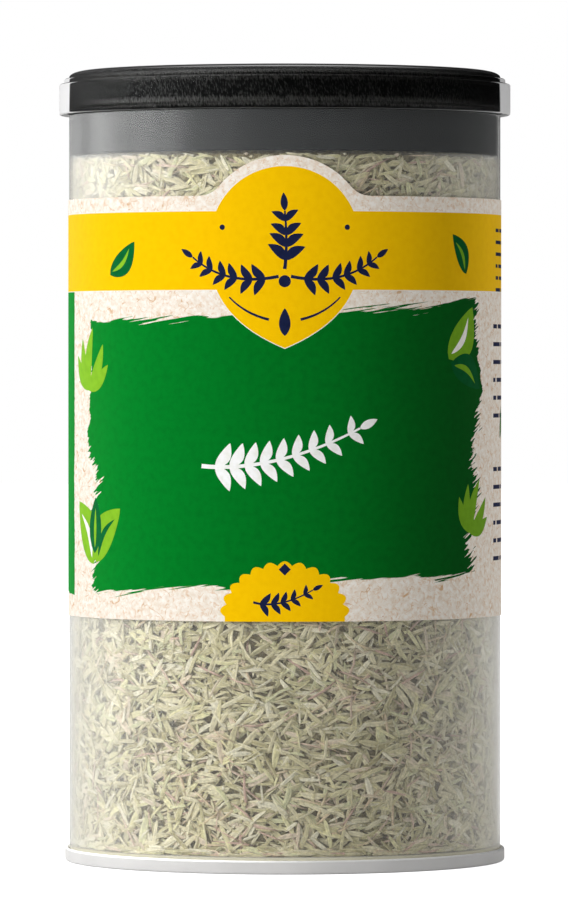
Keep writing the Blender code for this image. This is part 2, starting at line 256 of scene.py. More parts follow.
def turned(name, outline, closed=True):
    """A turned piece from (radius, height) corners. A closed outline runs round the whole wall."""
    radius, height = outline[0]
    made = start_ring(name, SIDES, (0, 0, height), radius)
    for next_radius, next_height in outline[1:] + ([outline[0]] if closed else []):
        bpy.ops.mesh.extrude_edges_move(TRANSFORM_OT_translate={"value": (0, 0, next_height - height)})
        size = next_radius / radius
        bpy.ops.transform.resize(value=(size, size, 1), center_override=(0, 0, next_height))
        radius, height = next_radius, next_height
    bpy.ops.mesh.select_all(action="SELECT")
    bpy.ops.mesh.remove_doubles(threshold=1e-6)
    if not closed:
        bpy.ops.mesh.select_all(action="DESELECT")
        bpy.ops.mesh.select_non_manifold()
        bpy.ops.mesh.edge_face_add()
        bpy.ops.mesh.select_all(action="SELECT")
    bpy.ops.mesh.normals_make_consistent(inside=False)
    bpy.ops.object.mode_set(mode="OBJECT")
    bpy.ops.object.shade_smooth_by_angle(angle=math.radians(SHARP_DEG))
    return made


def arc(centre, radii, start_deg, end_deg, steps):
    """Corners along a quarter round in the (radius, height) plane."""
    angles = [math.radians(start_deg + (end_deg - start_deg) * i / steps) for i in range(steps + 1)]
    return [(centre[0] + radii[0] * math.cos(a), centre[1] + radii[1] * math.sin(a)) for a in angles]


def dress(piece, material, slot, *nodes):
    """Gives a piece its finish, hides the CAD nodes it stands for, and lets it ride on the can."""
    piece.data.materials.clear()
    piece.data.materials.append(material)
    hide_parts(*nodes)
    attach(piece, "root")
    print(piece.name, len(piece.data.vertices), "points")


def new_material(name):
    """A material with an empty node tree."""
    material = bpy.data.materials.new(name)
    material.use_nodes = True
    material.node_tree.nodes.clear()
    return material, material.node_tree


# %% [markdown]
# The tin end is tinplate: steel sheet with a thin bright coat of tin, seamed over the tube's bottom
# edge. Rolling leaves faint lines round the ring, which stretch the highlights sideways. The tin is
# dull all over. Along the top of the ring, a painted highlight turns its colour white and makes it
# more metallic.
# A noise has about one blob to a unit, so a scale of 6000 to a metre puts the lines a sixth of a
# millimetre apart, and 300 to a metre makes them about 3 mm long.

# %% Tinplate
PAINTED_HIGHLIGHT_BAND = (1.95 * MM, 2.15 * MM)


def make_tinplate():
    """Dull tin with lines rolled round it, and a painted highlight along the top of the ring."""
    material, tree = new_material("rolled_tinplate")
    place = put(tree, "TexCoord", out="Object")
    stretched = put(tree, "Mapping", {"Vector": place, "Scale": (300, 300, 6000)})
    lines = put(tree, "TexNoise", {"Vector": stretched, "Scale": 1.0, "Detail": 4.0})
    cloud = put(tree, "TexNoise", {"Vector": place, "Scale": 90.0, "Detail": 3.0})
    rough = put(tree, "MapRange", {
        "Value": lines, "From Min": 0.3, "From Max": 0.7, "To Min": 0.36, "To Max": 0.5,
    })
    tone = put(tree, "ValToRGB", {"Fac": cloud}, stops=[(0.3, srgb("d4d3d2")), (0.7, srgb("dddcdb"))])
    height = put(tree, "SeparateXYZ", {"Vector": place}, out="Z")
    # Painted highlight: a thin band on the top of the ring is painted white and made more metallic.
    crest = put(tree, "MapRange", {"Value": height, "From Min": PAINTED_HIGHLIGHT_BAND[0], "From Max": PAINTED_HIGHLIGHT_BAND[1]})
    with_painted_highlight = put(tree, "Mix", {"Factor": crest, 6: tone, 7: srgb("ffffff")}, out=2, data_type="RGBA")
    shine = put(tree, "MapRange", {"Value": crest, "To Min": 0.03, "To Max": 0.6})
    bump = put(tree, "Bump", {"Height": lines, "Strength": 0.08, "Distance": 0.1 * MM})
    metal = put(tree, "BsdfPrincipled", {
        "Base Color": with_painted_highlight, "Metallic": shine, "Roughness": rough, "Specular IOR Level": 0.2,
        "Normal": bump,
    })
    put(tree, "OutputMaterial", {"Surface": metal}, out=None)
    return material


tinplate = make_tinplate()

# %% [markdown]
# The end is one sheet: a panel with two pressed rings, a groove that grips the tube's edge, and a
# rolled foot. A press forms it from a flat disc. Here its section is one outline that is drawn out
# ring by ring, so the roll and the pressed rings are true shapes and not only shading.

# %% Tin end
FOOT_HEIGHT = 2.3 * MM
TIN = 0.5 * MM
ROLL = 0.45 * MM
TUBE_WALL = 0.4 * MM
SEAM_GAP = 0.12 * MM
BEAD_RADII = (15.0 * MM, 27.0 * MM)
BEAD_HALF = 1.1 * MM
BEAD_DEEP = 0.4 * MM


def panel_line(height):
    """The end panel from near its middle to its rim, with two pressed rings."""
    line = [(POLE, height)]
    for radius in BEAD_RADII:
        line += [(radius + BEAD_HALF * t, height - BEAD_DEEP * (1 + math.cos(math.pi * t)) / 2)
                 for t in (-1, -0.6, -0.25, 0.25, 0.6, 1)]
    return line


groove_outer = tube_radius + SEAM_GAP
groove_inner = tube_radius - TUBE_WALL - SEAM_GAP
foot_inner = groove_inner - TIN
outline = panel_line(panel_top)
outline += [(groove_inner, panel_top), (groove_inner, tube_low - 2 * SEAM_GAP)]
outline += [(groove_outer, tube_low - 2 * SEAM_GAP), (groove_outer, FOOT_HEIGHT - 0.1 * MM)]
outline += arc((foot_radius - ROLL, FOOT_HEIGHT - ROLL), (ROLL, ROLL), 80, 0, 6)
outline += arc((foot_radius - ROLL, ROLL), (ROLL, ROLL), 0, -90, 5)
outline += arc((foot_inner + ROLL, ROLL), (ROLL, ROLL), -90, -180, 4)
outline += [(foot_inner, panel_top - TIN - ROLL), (foot_inner - ROLL, panel_top - TIN)]
outline += panel_line(panel_top - TIN)[::-1]
tin_end = turned("tin_end", outline, closed=False)
dress(tin_end, tinplate, "tinplate", "base_end")

# %% [markdown]
# The tube is PET, a clear glossy plastic. Light passes straight through so thin a wall, so the finish
# is a see-through surface that turns into a mirror towards grazing angles, as its Fresnel says. The
# mirror is slightly soft, because an extruded tube has a faint haze on it. Herb dust clings inside, up
# to the plug. Looked at along the wall there is more dust in the way, so it whitens towards the sides.
# The mirror's softness varies in streaks about 4 mm wide, drawn out upwards by the extrusion.

# %% Clear PET
PET_FACE_ON = 0.02
PET_HAZE = 0.03
DUST_TONE = "fbf9f0"
DUST = ((0.0, 0.01), (0.1, 0.015), (0.2, 0.05), (0.4, 0.15), (0.58, 0.22), (0.75, 0.28), (1.0, 0.34))


def mirror_share(tree, face_on, grazing):
    """How much a clear plastic's surface mirrors, from face on to grazing, from either side of it."""
    facing = put(tree, "LayerWeight", {"Blend": 0.5}, out="Facing")
    steep = put(tree, "Math", (facing, 5.0), operation="POWER")
    return put(tree, "MapRange", {"Value": steep, "To Min": face_on, "To Max": grazing})


def make_pet():
    """A see-through wall with a soft mirror on it, and herb dust inside it."""
    material, tree = new_material("extruded_clear_pet")
    place = put(tree, "TexCoord", out="Object")
    drawn = put(tree, "Mapping", {"Vector": place, "Scale": (260, 260, 26)})
    streaks = put(tree, "TexNoise", {"Vector": drawn, "Scale": 1.0, "Detail": 3.0})
    soft = put(tree, "MapRange", {"Value": streaks, "To Min": 0.16, "To Max": 0.3})
    clear = put(tree, "BsdfTransparent", {"Color": srgb("fdfdfc")})
    gloss = put(tree, "BsdfGlossy", {"Color": grey(1.0), "Roughness": soft})
    height = put(tree, "SeparateXYZ", {"Vector": place}, out="Z")
    filled = put(tree, "MapRange", {
        "Value": height, "From Min": plug_low, "From Max": plug_low - 0.4 * MM,
    })
    facing = put(tree, "LayerWeight", {"Blend": 0.5}, out="Facing")
    clinging = put(tree, "ValToRGB", {"Fac": facing}, stops=[(at, grey(share)) for at, share in DUST])
    dust = put(tree, "Math", (clinging, filled), operation="MULTIPLY")
    settled = put(tree, "MapRange", {
        "Value": height, "From Min": panel_top + 0.3 * MM, "From Max": panel_top, "To Max": 0.7,
    })
    powdered = put(tree, "Math", (dust, settled), operation="MAXIMUM")
    cloud = put(tree, "Math", (powdered, PET_HAZE), operation="ADD")
    tones = {"Factor": filled, 6: srgb("eff4f7"), 7: srgb(DUST_TONE)}
    herb = put(tree, "Mix", tones, out=2, data_type="RGBA")
    sunk = put(tree, "Mix", {"Factor": settled, 6: herb, 7: srgb("d9d3b4")}, out=2, data_type="RGBA")
    powder = put(tree, "BsdfDiffuse", {"Color": sunk})
    body = put(tree, "MixShader", (cloud, clear, powder))
    wall = put(tree, "MixShader", (mirror_share(tree, PET_FACE_ON, 1.0), body, gloss))
    put(tree, "OutputMaterial", {"Surface": wall}, out=None)
    return material


clear_pet = make_pet()

# %% [markdown]
# The tube is cut from a long extruded pipe, so its wall is even from end to end. It could be a
# cylinder with a Solidify modifier. An outline with four small chamfers gives its cut edges the thin
# bright line that they have on the real one.

# %% Clear tube
EDGE = 0.08 * MM
tube_inner = tube_radius - TUBE_WALL
tube = turned("clear_wall", [
    (tube_inner + EDGE, tube_low), (tube_radius - EDGE, tube_low), (tube_radius, tube_low + EDGE),
    (tube_radius, tube_high - EDGE), (tube_radius - EDGE, tube_high), (tube_inner + EDGE, tube_high),
    (tube_inner, tube_high - EDGE), (tube_inner, tube_low + EDGE),
])
dress(tube, clear_pet, "clear_plastic", "clear_tube")

# %% [markdown]
# The sprinkler insert is injection-moulded black polypropylene. Its plug goes down inside the tube,
# its collar stands on the tube's rim, and a raised rim stops the overcap. The moulding is satin, and
# handling leaves fine leaning scratches on the rim and the collar, which break the soft light at the
# left into short streaks. They are drawn coarser than real ones, about 0.2 mm wide and 0.7 mm long,
# so that they show in the render.

# %% Black polypropylene
RUBBED = ((0.0, 0.0), (0.05, 0.0), (0.07, 0.1), (0.14, 0.28), (0.26, 0.28), (0.34, 0.06), (0.66, 0.05),
          (0.74, 0.2), (1.0, 0.25))
SCRATCHES = (4300, 4300, 1500)
SCRATCH_DEEP = 0.06 * MM


def make_black():
    """Satin black, with scratches that are smoother, paler and more mirroring than the rest."""
    material, tree = new_material("moulded_black_polypropylene")
    place = put(tree, "TexCoord", out="Object")
    leaning = put(tree, "Mapping", {"Vector": place, "Rotation": (0.0, 0.18, 0.0)})
    drawn = put(tree, "Mapping", {"Vector": leaning, "Scale": SCRATCHES})
    grain = put(tree, "TexNoise", {"Vector": drawn, "Scale": 1.0, "Detail": 3.0})
    height = put(tree, "SeparateXYZ", {"Vector": place}, out="Z")
    level = put(tree, "MapRange", {"Value": height, "From Min": tube_high, "From Max": rim_top})
    rubbed = put(tree, "ValToRGB", {"Fac": level}, stops=[(at, grey(more)) for at, more in RUBBED])
    above_tube = put(tree, "Math", (level, 0.04), operation="GREATER_THAN")
    outside = put(tree, "Math", (grain, above_tube), operation="MULTIPLY")
    raised = put(tree, "Math", (outside, rubbed), operation="ADD")
    ridge = put(tree, "MapRange", {"Value": raised, "From Min": 0.55, "From Max": 0.92})
    rough = put(tree, "MapRange", {"Value": ridge, "To Min": 0.42, "To Max": 0.3})
    shine = put(tree, "MapRange", {"Value": ridge, "To Min": 0.08, "To Max": 1.0})
    bump = put(tree, "Bump", {"Height": ridge, "Strength": 1.0, "Distance": SCRATCH_DEEP})
    tones = {"Factor": ridge, 6: srgb("020303"), 7: srgb("15150e")}
    tone = put(tree, "Mix", tones, out=2, data_type="RGBA")
    plastic = put(tree, "BsdfPrincipled", {
        "Base Color": tone, "Roughness": rough, "Normal": bump, "Specular IOR Level": shine,
    })
    put(tree, "OutputMaterial", {"Surface": plastic}, out=None)
    return material


black = make_black()

# %% [markdown]
# The insert is one moulding: a deck, a raised rim, a collar and a plug. All of it is round, so it is
# one outline again, with its corners rounded by short arcs where fingers and light find them.

# %% Sprinkler insert
PLUG_GAP = 0.25 * MM
PLUG_WALL = 1.0 * MM
COLLAR_TOP = 131.7 * MM
RIM_INNER = 32.4 * MM
RIM_FLAT = 33.6 * MM
RIM_OUTER = 35.92 * MM
DECK_TOP = 130.9 * MM
DECK = 1.2 * MM
CHAMFER = 0.3 * MM

plug_outer = tube_inner - PLUG_GAP
plug_inner = plug_outer - PLUG_WALL
collar_low = tube_high + PLUG_GAP
corner = (RIM_OUTER - RIM_FLAT, rim_top - COLLAR_TOP - CHAMFER)
outline = [(POLE, DECK_TOP), (RIM_INNER - CHAMFER, DECK_TOP), (RIM_INNER, DECK_TOP + CHAMFER)]
outline += arc((RIM_INNER + CHAMFER, rim_top - CHAMFER), (CHAMFER, CHAMFER), 180, 90, 3)
outline += arc((RIM_FLAT, rim_top - corner[1]), corner, 90, 0, 10)
outline += [(RIM_OUTER, COLLAR_TOP)]
outline += arc((collar_radius - CHAMFER, COLLAR_TOP - CHAMFER), (CHAMFER, CHAMFER), 60, 0, 3)
outline += arc((collar_radius - CHAMFER, collar_low + CHAMFER), (CHAMFER, CHAMFER), 0, -90, 3)
outline += [(plug_outer, collar_low), (plug_outer, plug_low + CHAMFER), (plug_outer - CHAMFER, plug_low)]
outline += [(plug_inner, plug_low), (plug_inner, DECK_TOP - DECK), (POLE, DECK_TOP - DECK)]
insert = turned("sprinkler_insert", outline, closed=False)

# %% [markdown]
# The deck has rings of sprinkle holes. Working each hole into the deck's mesh by hand is slow, so rods
# are set where the holes go, joined to one drill, and taken away from the deck with a Boolean.

# %% Sprinkle holes
HOLE_RADIUS = 1.8 * MM
HOLE_RINGS = ((0.0, 1), (7.5 * MM, 6), (15.0 * MM, 12))

bpy.ops.object.select_all(action="DESELECT")
rods = []
for ring_radius, count in HOLE_RINGS:
    for index in range(count):
        turn = math.tau * index / count
        where = (ring_radius * math.cos(turn), ring_radius * math.sin(turn), DECK_TOP)
        bpy.ops.mesh.primitive_cylinder_add(vertices=32, radius=HOLE_RADIUS, depth=5 * DECK, location=where)
        rods.append(bpy.context.object)
bpy.ops.object.select_all(action="DESELECT")
for rod in rods:
    rod.select_set(True)
bpy.context.view_layer.objects.active = rods[0]
bpy.ops.object.join()
drill = bpy.context.object
cut = insert.modifiers.new("holes", "BOOLEAN")
cut.operation = "DIFFERENCE"
cut.object = drill
bpy.context.view_layer.objects.active = insert
bpy.ops.object.modifier_apply(modifier=cut.name)
bpy.data.objects.remove(drill)
dress(insert, black, "black_plastic", "sifter_insert")

# %% [markdown]
# The overcap is a thin clear moulding with a step near its top and a lip at its foot. It is far from
# solid: its skirt has twice the wall of its top, and only two rings inside it grip the tube. So its
# outer and inner lines are given by their own sizes.

# %% Overcap sizes
CAP_SHOULDER = 131.3 * MM
STEP_RADIUS = 37.35 * MM
STEP_TOP = 132.2 * MM
CROWN_RADIUS = 36.5 * MM
PANEL_RADIUS = 30.6 * MM
PANEL_DROP = 0.8 * MM
CAP_WALL = 0.4 * MM
SKIRT_WALL = 0.8 * MM
GRIP_GAP = 0.35 * MM
ROUND = 0.3 * MM

# %% [markdown]
# The plastic is thin clear polypropylene. Square on it shows the black insert behind it, a little
# dimmed. Past the tube's edge its skirt is seen along the wall, which is many times thicker to the eye
# and turns to a pale haze. One could give it a volume, but that is slow and grainy. So the see-through
# surface turns into a white scattering one by the angle of view, and the fine scratches are on it too.

# %% Thin clear polypropylene
SKIN = 0.3 * MM
FADE = 0.1 * MM
FLAT = 0.12 * MM


def past_tube(radius):
    """How far from face on a wall of some radius is seen where it clears the tube behind it."""
    return 1 - math.sqrt(1 - (tube_radius / radius) ** 2)


def make_overcap_plastic():
    """See-through square on, white along the skirt, with a little scratched gloss over both."""
    material, tree = new_material("thin_clear_polypropylene")
    place = put(tree, "TexCoord", out="Object")
    height = put(tree, "SeparateXYZ", {"Vector": place}, out="Z")
    level_place = put(tree, "VectorMath", (place, (1.0, 1.0, 0.0)), operation="MULTIPLY")
    radius = put(tree, "VectorMath", (level_place,), out="Value", operation="LENGTH")
    at_step = {"Value": height, "From Min": CAP_SHOULDER, "From Max": CAP_SHOULDER + FADE}
    skin_radius = put(tree, "MapRange", {
        **at_step, "To Min": cap_radius - SKIN, "To Max": STEP_RADIUS - SKIN,
    })
    edge_on = put(tree, "MapRange", {
        **at_step, "To Min": past_tube(cap_radius), "To Max": past_tube(STEP_RADIUS),
    })
    on_skirt = put(tree, "Math", (radius, skin_radius), operation="GREATER_THAN")
    for flat_level in (CAP_SHOULDER, STEP_TOP):
        over_flat = put(tree, "Math", (height, flat_level), operation="SUBTRACT")
        off_flat = put(tree, "Math", (over_flat,), operation="ABSOLUTE")
        clear_of_it = put(tree, "Math", (off_flat, FLAT), operation="GREATER_THAN")
        on_skirt = put(tree, "Math", (on_skirt, clear_of_it), operation="MULTIPLY")
    facing = put(tree, "LayerWeight", {"Blend": 0.5}, out="Facing")
    depth = put(tree, "ValToRGB", {"Fac": facing}, stops=[
        (0.0, grey(0.98)), (0.3, grey(0.94)), (0.5, grey(0.6)), (0.65, grey(0.25)), (0.8, grey(0.1)),
        (1.0, grey(0.04)),
    ])
    above_lip = put(tree, "Math", (height, cap_low + 0.3 * MM), operation="GREATER_THAN")
    seen = put(tree, "Mix", {"Factor": above_lip, 6: grey(0.93), 7: depth}, out=2, data_type="RGBA")
    clear = put(tree, "BsdfTransparent", {"Color": seen})
    body = put(tree, "BsdfDiffuse", {"Color": grey(1.0)})
    through = put(tree, "BsdfTranslucent", {"Color": grey(1.0)})
    scatter = put(tree, "MixShader", (0.2, body, through))
    beyond = put(tree, "Math", (facing, edge_on), operation="SUBTRACT")
    haze = put(tree, "MapRange", {
        "Value": beyond, "From Min": -0.01, "From Max": 0.005, "To Max": 0.96,
    })
    whitened = put(tree, "Math", (haze, on_skirt), operation="MULTIPLY")
    wall = put(tree, "MixShader", (whitened, clear, scatter))
    drawn = put(tree, "Mapping", {"Vector": place, "Scale": SCRATCHES})
    scuffs = put(tree, "TexNoise", {"Vector": drawn, "Scale": 1.0, "Detail": 3.0})
    bump = put(tree, "Bump", {"Height": scuffs, "Strength": 1.0, "Distance": SCRATCH_DEEP})
    gloss = put(tree, "BsdfGlossy", {"Color": grey(1.0), "Roughness": 0.22, "Normal": bump})
    skin = put(tree, "MixShader", (mirror_share(tree, 0.0, 0.22), wall, gloss))
    put(tree, "OutputMaterial", {"Surface": skin}, out=None)
    return material


overcap_plastic = make_overcap_plastic()

# %% [markdown]
# The outline goes along the outside first and comes back along the inside. The step and the crown are
# short arcs, so a band of light can run along them as it does on the real moulding.

# %% Overcap


def crown(wall, start_deg, end_deg):
    """The round over the insert's rim, at some depth of the wall."""
    size = (CROWN_RADIUS - wall - RIM_FLAT, cap_high - STEP_TOP - ROUND)
    return arc((RIM_FLAT, cap_high - wall - size[1]), size, start_deg, end_deg, 10)


def rounded(radius, height, start_deg, end_deg):
    """A small rounded corner."""
    return arc((radius - ROUND, height), (ROUND, ROUND), start_deg, end_deg, 4)


grip = tube_radius + GRIP_GAP
skirt = cap_radius - SKIRT_WALL
panel = cap_high - PANEL_DROP
outline = [(POLE, panel), (PANEL_RADIUS, panel)]
outline += arc((PANEL_RADIUS + PANEL_DROP, panel), (PANEL_DROP, PANEL_DROP), 180, 90, 4)
outline += crown(0, 90, 0) + [(CROWN_RADIUS, STEP_TOP)]
outline += rounded(STEP_RADIUS, STEP_TOP - ROUND, 90, 0) + [(STEP_RADIUS, CAP_SHOULDER)]
outline += rounded(cap_radius, CAP_SHOULDER - ROUND, 90, 0) + rounded(cap_radius, cap_low + ROUND, 0, -90)
outline += [(skirt, cap_low), (grip, cap_low + CAP_WALL), (grip, cap_low + 2 * CAP_WALL)]
outline += [(skirt, cap_low + 3 * CAP_WALL), (skirt, CAP_SHOULDER - 2 * CAP_WALL), (grip, CAP_SHOULDER)]
outline += [(grip, STEP_TOP - CAP_WALL), (CROWN_RADIUS - CAP_WALL, STEP_TOP - CAP_WALL)]
outline += crown(CAP_WALL, 0, 90)
outline += [(PANEL_RADIUS + PANEL_DROP + CAP_WALL / 2, cap_high - CAP_WALL)]
outline += [(PANEL_RADIUS + CAP_WALL / 2, panel - CAP_WALL), (POLE, panel - CAP_WALL)]
overcap = turned("clear_overcap", outline, closed=False)
dress(overcap, overcap_plastic, "clear_cap", "overcap")

# %% [markdown]
# The label is one paper sheet wrapped round the tube, with an arched top edge in front and its end
# lapped over its start at the back. A flat sheet is easiest to draw on while it is flat. So each
# printed shape is an outline in millimetres along and up the sheet. A constrained triangulation cuts
# the sheet along all the outlines at once, each piece keeps the ink on top of it, and then the whole
# sheet is wrapped. That gives printed edges as sharp as a printer's, with no picture file.

# %% Paper sizes
PAPER_GAP = 0.05 * MM
PAPER = 0.12 * MM
LABEL_TOP = 111.7 * MM
ARCH_RADIUS = 14.4 * MM
ARCH_FILLET = 4.5 * MM
LAP_STEP_DEG = 7.5
sheet_radius = tube_radius + PAPER_GAP
lap_step = sheet_radius * math.radians(LAP_STEP_DEG)
half_sheet = math.pi * sheet_radius
arch_middle = arch_top - ARCH_RADIUS


def sheet_top(along):
    """Height of the sheet's top edge: straight, then a hollow fillet, then the round arch."""
    hollow = LABEL_TOP + ARCH_FILLET
    foot = math.sqrt((ARCH_RADIUS + ARCH_FILLET) ** 2 - (hollow - arch_middle) ** 2)
    meet = foot * ARCH_RADIUS / (ARCH_RADIUS + ARCH_FILLET)
    distance = abs(along)
    if distance <= meet:
        return arch_middle + math.sqrt(ARCH_RADIUS**2 - distance**2)
    if distance < foot:
        return hollow - math.sqrt(ARCH_FILLET**2 - (foot - distance) ** 2)
    return LABEL_TOP


print(f"the sheet is {(2 * half_sheet + lap_step) / MM:.0f} mm long")
print(f"the sheet is {(LABEL_TOP - label_low) / MM:.0f} mm high beside its arch")

# %% [markdown]
# A press lays one ink over another, so a shape that is printed later covers the ones before it. Each
# shape is a closed outline with the name of its ink. Leaves, lines and dots come from small functions,
# as a sign painter has a few practised strokes.

# %% Inks and strokes
INKS = ["paper", "white", "yellow", "navy", "leaf_green", "deep_green", "white_sprig"]
prints = []


def ink(name, *points):
    """Prints one closed outline, given in millimetres along and up the sheet. It is kept anticlockwise."""
    twice_area = sum(a[0] * b[1] - b[0] * a[1] for a, b in zip(points, points[1:] + points[:1]))
    ordered = points if twice_area > 0 else points[::-1]
    prints.append((INKS.index(name), [(along * MM, up * MM) for along, up in ordered]))


def blade(along, up, length, width, lean_deg, curve=0.12, tip=0.5):
    """A leaf outline that starts at a point and grows along its lean, measured from straight up."""
    lean = math.radians(lean_deg)
    ahead, side = (math.sin(lean), math.cos(lean)), (math.cos(lean), -math.sin(lean))
    steps = 14
    right, left = [], []
    for i in range(steps + 1):
        t = i / steps
        half = width / 2 * math.sin(math.pi * t ** (1.1 - tip / 2)) ** 0.85
        bow = curve * length * math.sin(math.pi * t)
        middle = (along + ahead[0] * length * t + side[0] * bow, up + ahead[1] * length * t + side[1] * bow)
        right.append((middle[0] + side[0] * half, middle[1] + side[1] * half))
        left.append((middle[0] - side[0] * half, middle[1] - side[1] * half))
    return right + left[-2:0:-1]


def stroke(points, width, end_width=None):
    """A line of some width along points, as a closed outline."""
    end_width = width if end_width is None else end_width
    right, left = [], []
    for i, (x, y) in enumerate(points):
        before, after = points[max(i - 1, 0)], points[min(i + 1, len(points) - 1)]
        run = math.hypot(after[0] - before[0], after[1] - before[1])
        side = ((after[1] - before[1]) / run, -(after[0] - before[0]) / run)
        half = (width + (end_width - width) * i / (len(points) - 1)) / 2
        right.append((x + side[0] * half, y + side[1] * half))
        left.append((x - side[0] * half, y - side[1] * half))
    return right + left[::-1]


def curve(start, bend, end, steps=14):
    """Points on a quadratic curve."""
    points = []
    for index in range(steps + 1):
        t = index / steps
        near, middle, far = (1 - t) ** 2, 2 * t * (1 - t), t * t
        points.append(tuple(near * a + middle * b + far * c for a, b, c in zip(start, bend, end)))
    return points


def disc(along, up, radius, steps=40):
    """A dot."""
    turns = [math.tau * i / steps for i in range(steps)]
    return [(along + radius * math.cos(a), up + radius * math.sin(a)) for a in turns]


# %% [markdown]
# A yellow band runs round the whole sheet, and a round-topped crest sits on it in front. Both have a
# thin white line round them. It is the same shape, drawn a little larger and first.

# %% Yellow band and crest
BAND = (96.2, 109.15)
HALO = 0.1
CREST_RADIUS = 12.6
CREST_POINT = 86.6
CREST_SHOULDER = 96.0
sheet_end = (half_sheet + lap_step) / MM + 1
crest_middle = arch_middle / MM


def crest(grow):
    """A shield: round on top, straight down its sides, and drawn in to a point below."""
    radius = CREST_RADIUS + grow
    top = [math.radians(-8 + 196 * i / 48) for i in range(49)]
    points = [(radius * math.cos(a), crest_middle + radius * math.sin(a)) for a in top]
    left = curve(points[-1], (-radius * 1.02, CREST_SHOULDER - 4 - grow), (0, CREST_POINT - grow * 1.4), 18)
    right = curve((0, CREST_POINT - grow * 1.4), (radius * 1.02, CREST_SHOULDER - 4 - grow), points[0], 18)
    return points + left[1:] + right[1:-1]


for name, grow in (("white", HALO), ("yellow", 0.0)):
    ink(name, (-sheet_end, BAND[0] - grow), (sheet_end, BAND[0] - grow), (sheet_end, BAND[1] + grow),
        (-sheet_end, BAND[1] + grow))
    ink(name, *crest(grow))
print(len(prints), "shapes printed so far")

# %% [markdown]
# The crest and the green field carry plain sprigs of thyme, drawn for this lesson. A sprig is a
# curved stalk with small pointed leaves set along it in pairs, so one function draws any of them.

# %% Sprigs


def sprig(name, start, bend, end, pairs, leaf, width=0.5, spread=52, lone_tip=True):
    """A stalk with pairs of leaves that shrink towards its tip."""
    line = curve(start, bend, end, 30)
    ink(name, *stroke(line, width, width * 0.5))
    for index in range(pairs):
        t = (index + 0.8) / (pairs + 0.6)
        place = line[round(t * 30)]
        ahead = line[min(round(t * 30) + 1, 30)]
        heading = math.degrees(math.atan2(ahead[0] - place[0], ahead[1] - place[1]))
        size = leaf * (1.05 - 0.42 * t)
        for turn, bow in ((spread, -0.1), (-spread, 0.1)):
            ink(name, *blade(*place, size, size * 0.42, heading + turn, bow))
    if lone_tip:
        ink(name, *blade(*line[-1], leaf * 0.75, leaf * 0.3, heading, 0.0))


sprig("navy", (-1.0, 98.4), (-9.5, 96.6), (-15.6, 101.6), 6, 3.3, 0.55)
sprig("navy", (1.0, 98.4), (9.5, 96.6), (15.6, 101.6), 6, 3.3, 0.55)
sprig("navy", (0.0, 99.6), (0.5, 104.0), (0.0, 109.2), 4, 4.0, 0.6)
ink("navy", *disc(0.0, 97.6, 1.0))
for side in (-1, 1):
    ink("navy", *stroke(curve((side * 2.6, 91.3), (side * 6.5, 92.2), (side * 9.2, 95.0)), 0.45, 0.25))
    ink("navy", *disc(side * 10.4, 113.0 - 6.5, 0.45))
ink("navy", *blade(0.0, 88.6, 4.6, 1.9, 0, 0.0))

sprig("white_sprig", (-14.0, 67.2), (-2.0, 66.0), (12.6, 73.4), 9, 4.6, 0.7, 58)

# %% [markdown]
# Round the field stand loose leaves in two greens. Each leaf has a pale or bare vein, which is a
# second, narrower shape printed over it. They keep the scale and the colours of the real print.

# %% Loose leaves round the field


def veined_leaf(name, vein, along, up, length, width, lean_deg, bow=0.1):
    """A leaf with a vein in another ink."""
    lean = math.radians(lean_deg)
    ink(name, *blade(along, up, length, width, lean_deg, bow))
    foot = (along + math.sin(lean) * length * 0.1, up + math.cos(lean) * length * 0.1)
    ink(vein, *blade(*foot, length * 0.7, width * 0.2, lean_deg, bow * 1.3))


def tuft(name, along, up, size, lean_deg, blades=5, fan=96):
    """A small fan of narrow blades from one foot."""
    for index in range(blades):
        off_middle = index / (blades - 1) - 0.5
        reach = size * (1 - 0.28 * abs(off_middle) * 2)
        bow = 0.08 * math.copysign(1, index - blades / 2 + 0.4)
        ink(name, *blade(along, up, reach, size * 0.24, lean_deg + fan * off_middle, bow))


veined_leaf("leaf_green", "white", -38.6, 50.6, 12.0, 6.6, -30)
veined_leaf("leaf_green", "deep_green", -37.8, 51.0, 11.4, 5.8, 38, -0.1)
veined_leaf("deep_green", "leaf_green", -38.2, 52.4, 9.4, 4.0, 2, 0.0)
tuft("leaf_green", -40.4, 79.6, 10.6, 8)
veined_leaf("deep_green", "leaf_green", -33.4, 98.8, 8.2, 4.0, 48)
veined_leaf("leaf_green", "white", 30.6, 84.8, 11.0, 6.2, 38)
veined_leaf("deep_green", "leaf_green", 31.2, 84.2, 9.8, 5.2, 116, -0.1)
tuft("leaf_green", 36.6, 55.8, 9.6, 20)
veined_leaf("deep_green", "leaf_green", 35.4, 99.0, 7.6, 3.6, -30)
print(len(prints), "shapes printed so far")

# %% [markdown]
# A scalloped half round rises from the sheet's lower edge. Its radius swings with the absolute value
# of a sine, so each scallop meets the next one in a sharp notch.

# %% Ornament at the foot of the field
SCALLOPS = 13
ORNAMENT_RADIUS = 8.6


def scalloped(grow):
    """Half a scalloped round on the label's bottom edge."""
    points = [(-ORNAMENT_RADIUS - 1.4 - grow, 40.0)]
    for index in range(SCALLOPS * 8 + 1):
        turn = math.pi * (1 - index / (SCALLOPS * 8))
        radius = ORNAMENT_RADIUS + grow + 0.75 * abs(math.sin(SCALLOPS * turn))
        points.append((1.16 * radius * math.cos(turn), 42.4 + 0.98 * radius * math.sin(turn)))
    return points + [(ORNAMENT_RADIUS + 1.4 + grow, 40.0)]


ink("yellow", *scalloped(0.0))
ink("navy", *[(-1.0, 50.2), (0.0, 49.2), (1.0, 50.2), (0.0, 51.2)])
sprig("navy", (-5.2, 44.8), (-1.0, 43.6), (4.6, 46.8), 5, 2.5, 0.4)

# %% [markdown]
# The side panels carry rows of short bars of uneven lengths. At this size they give the eye an even
# grey block, and as plain outlines they stay sharp from near by.

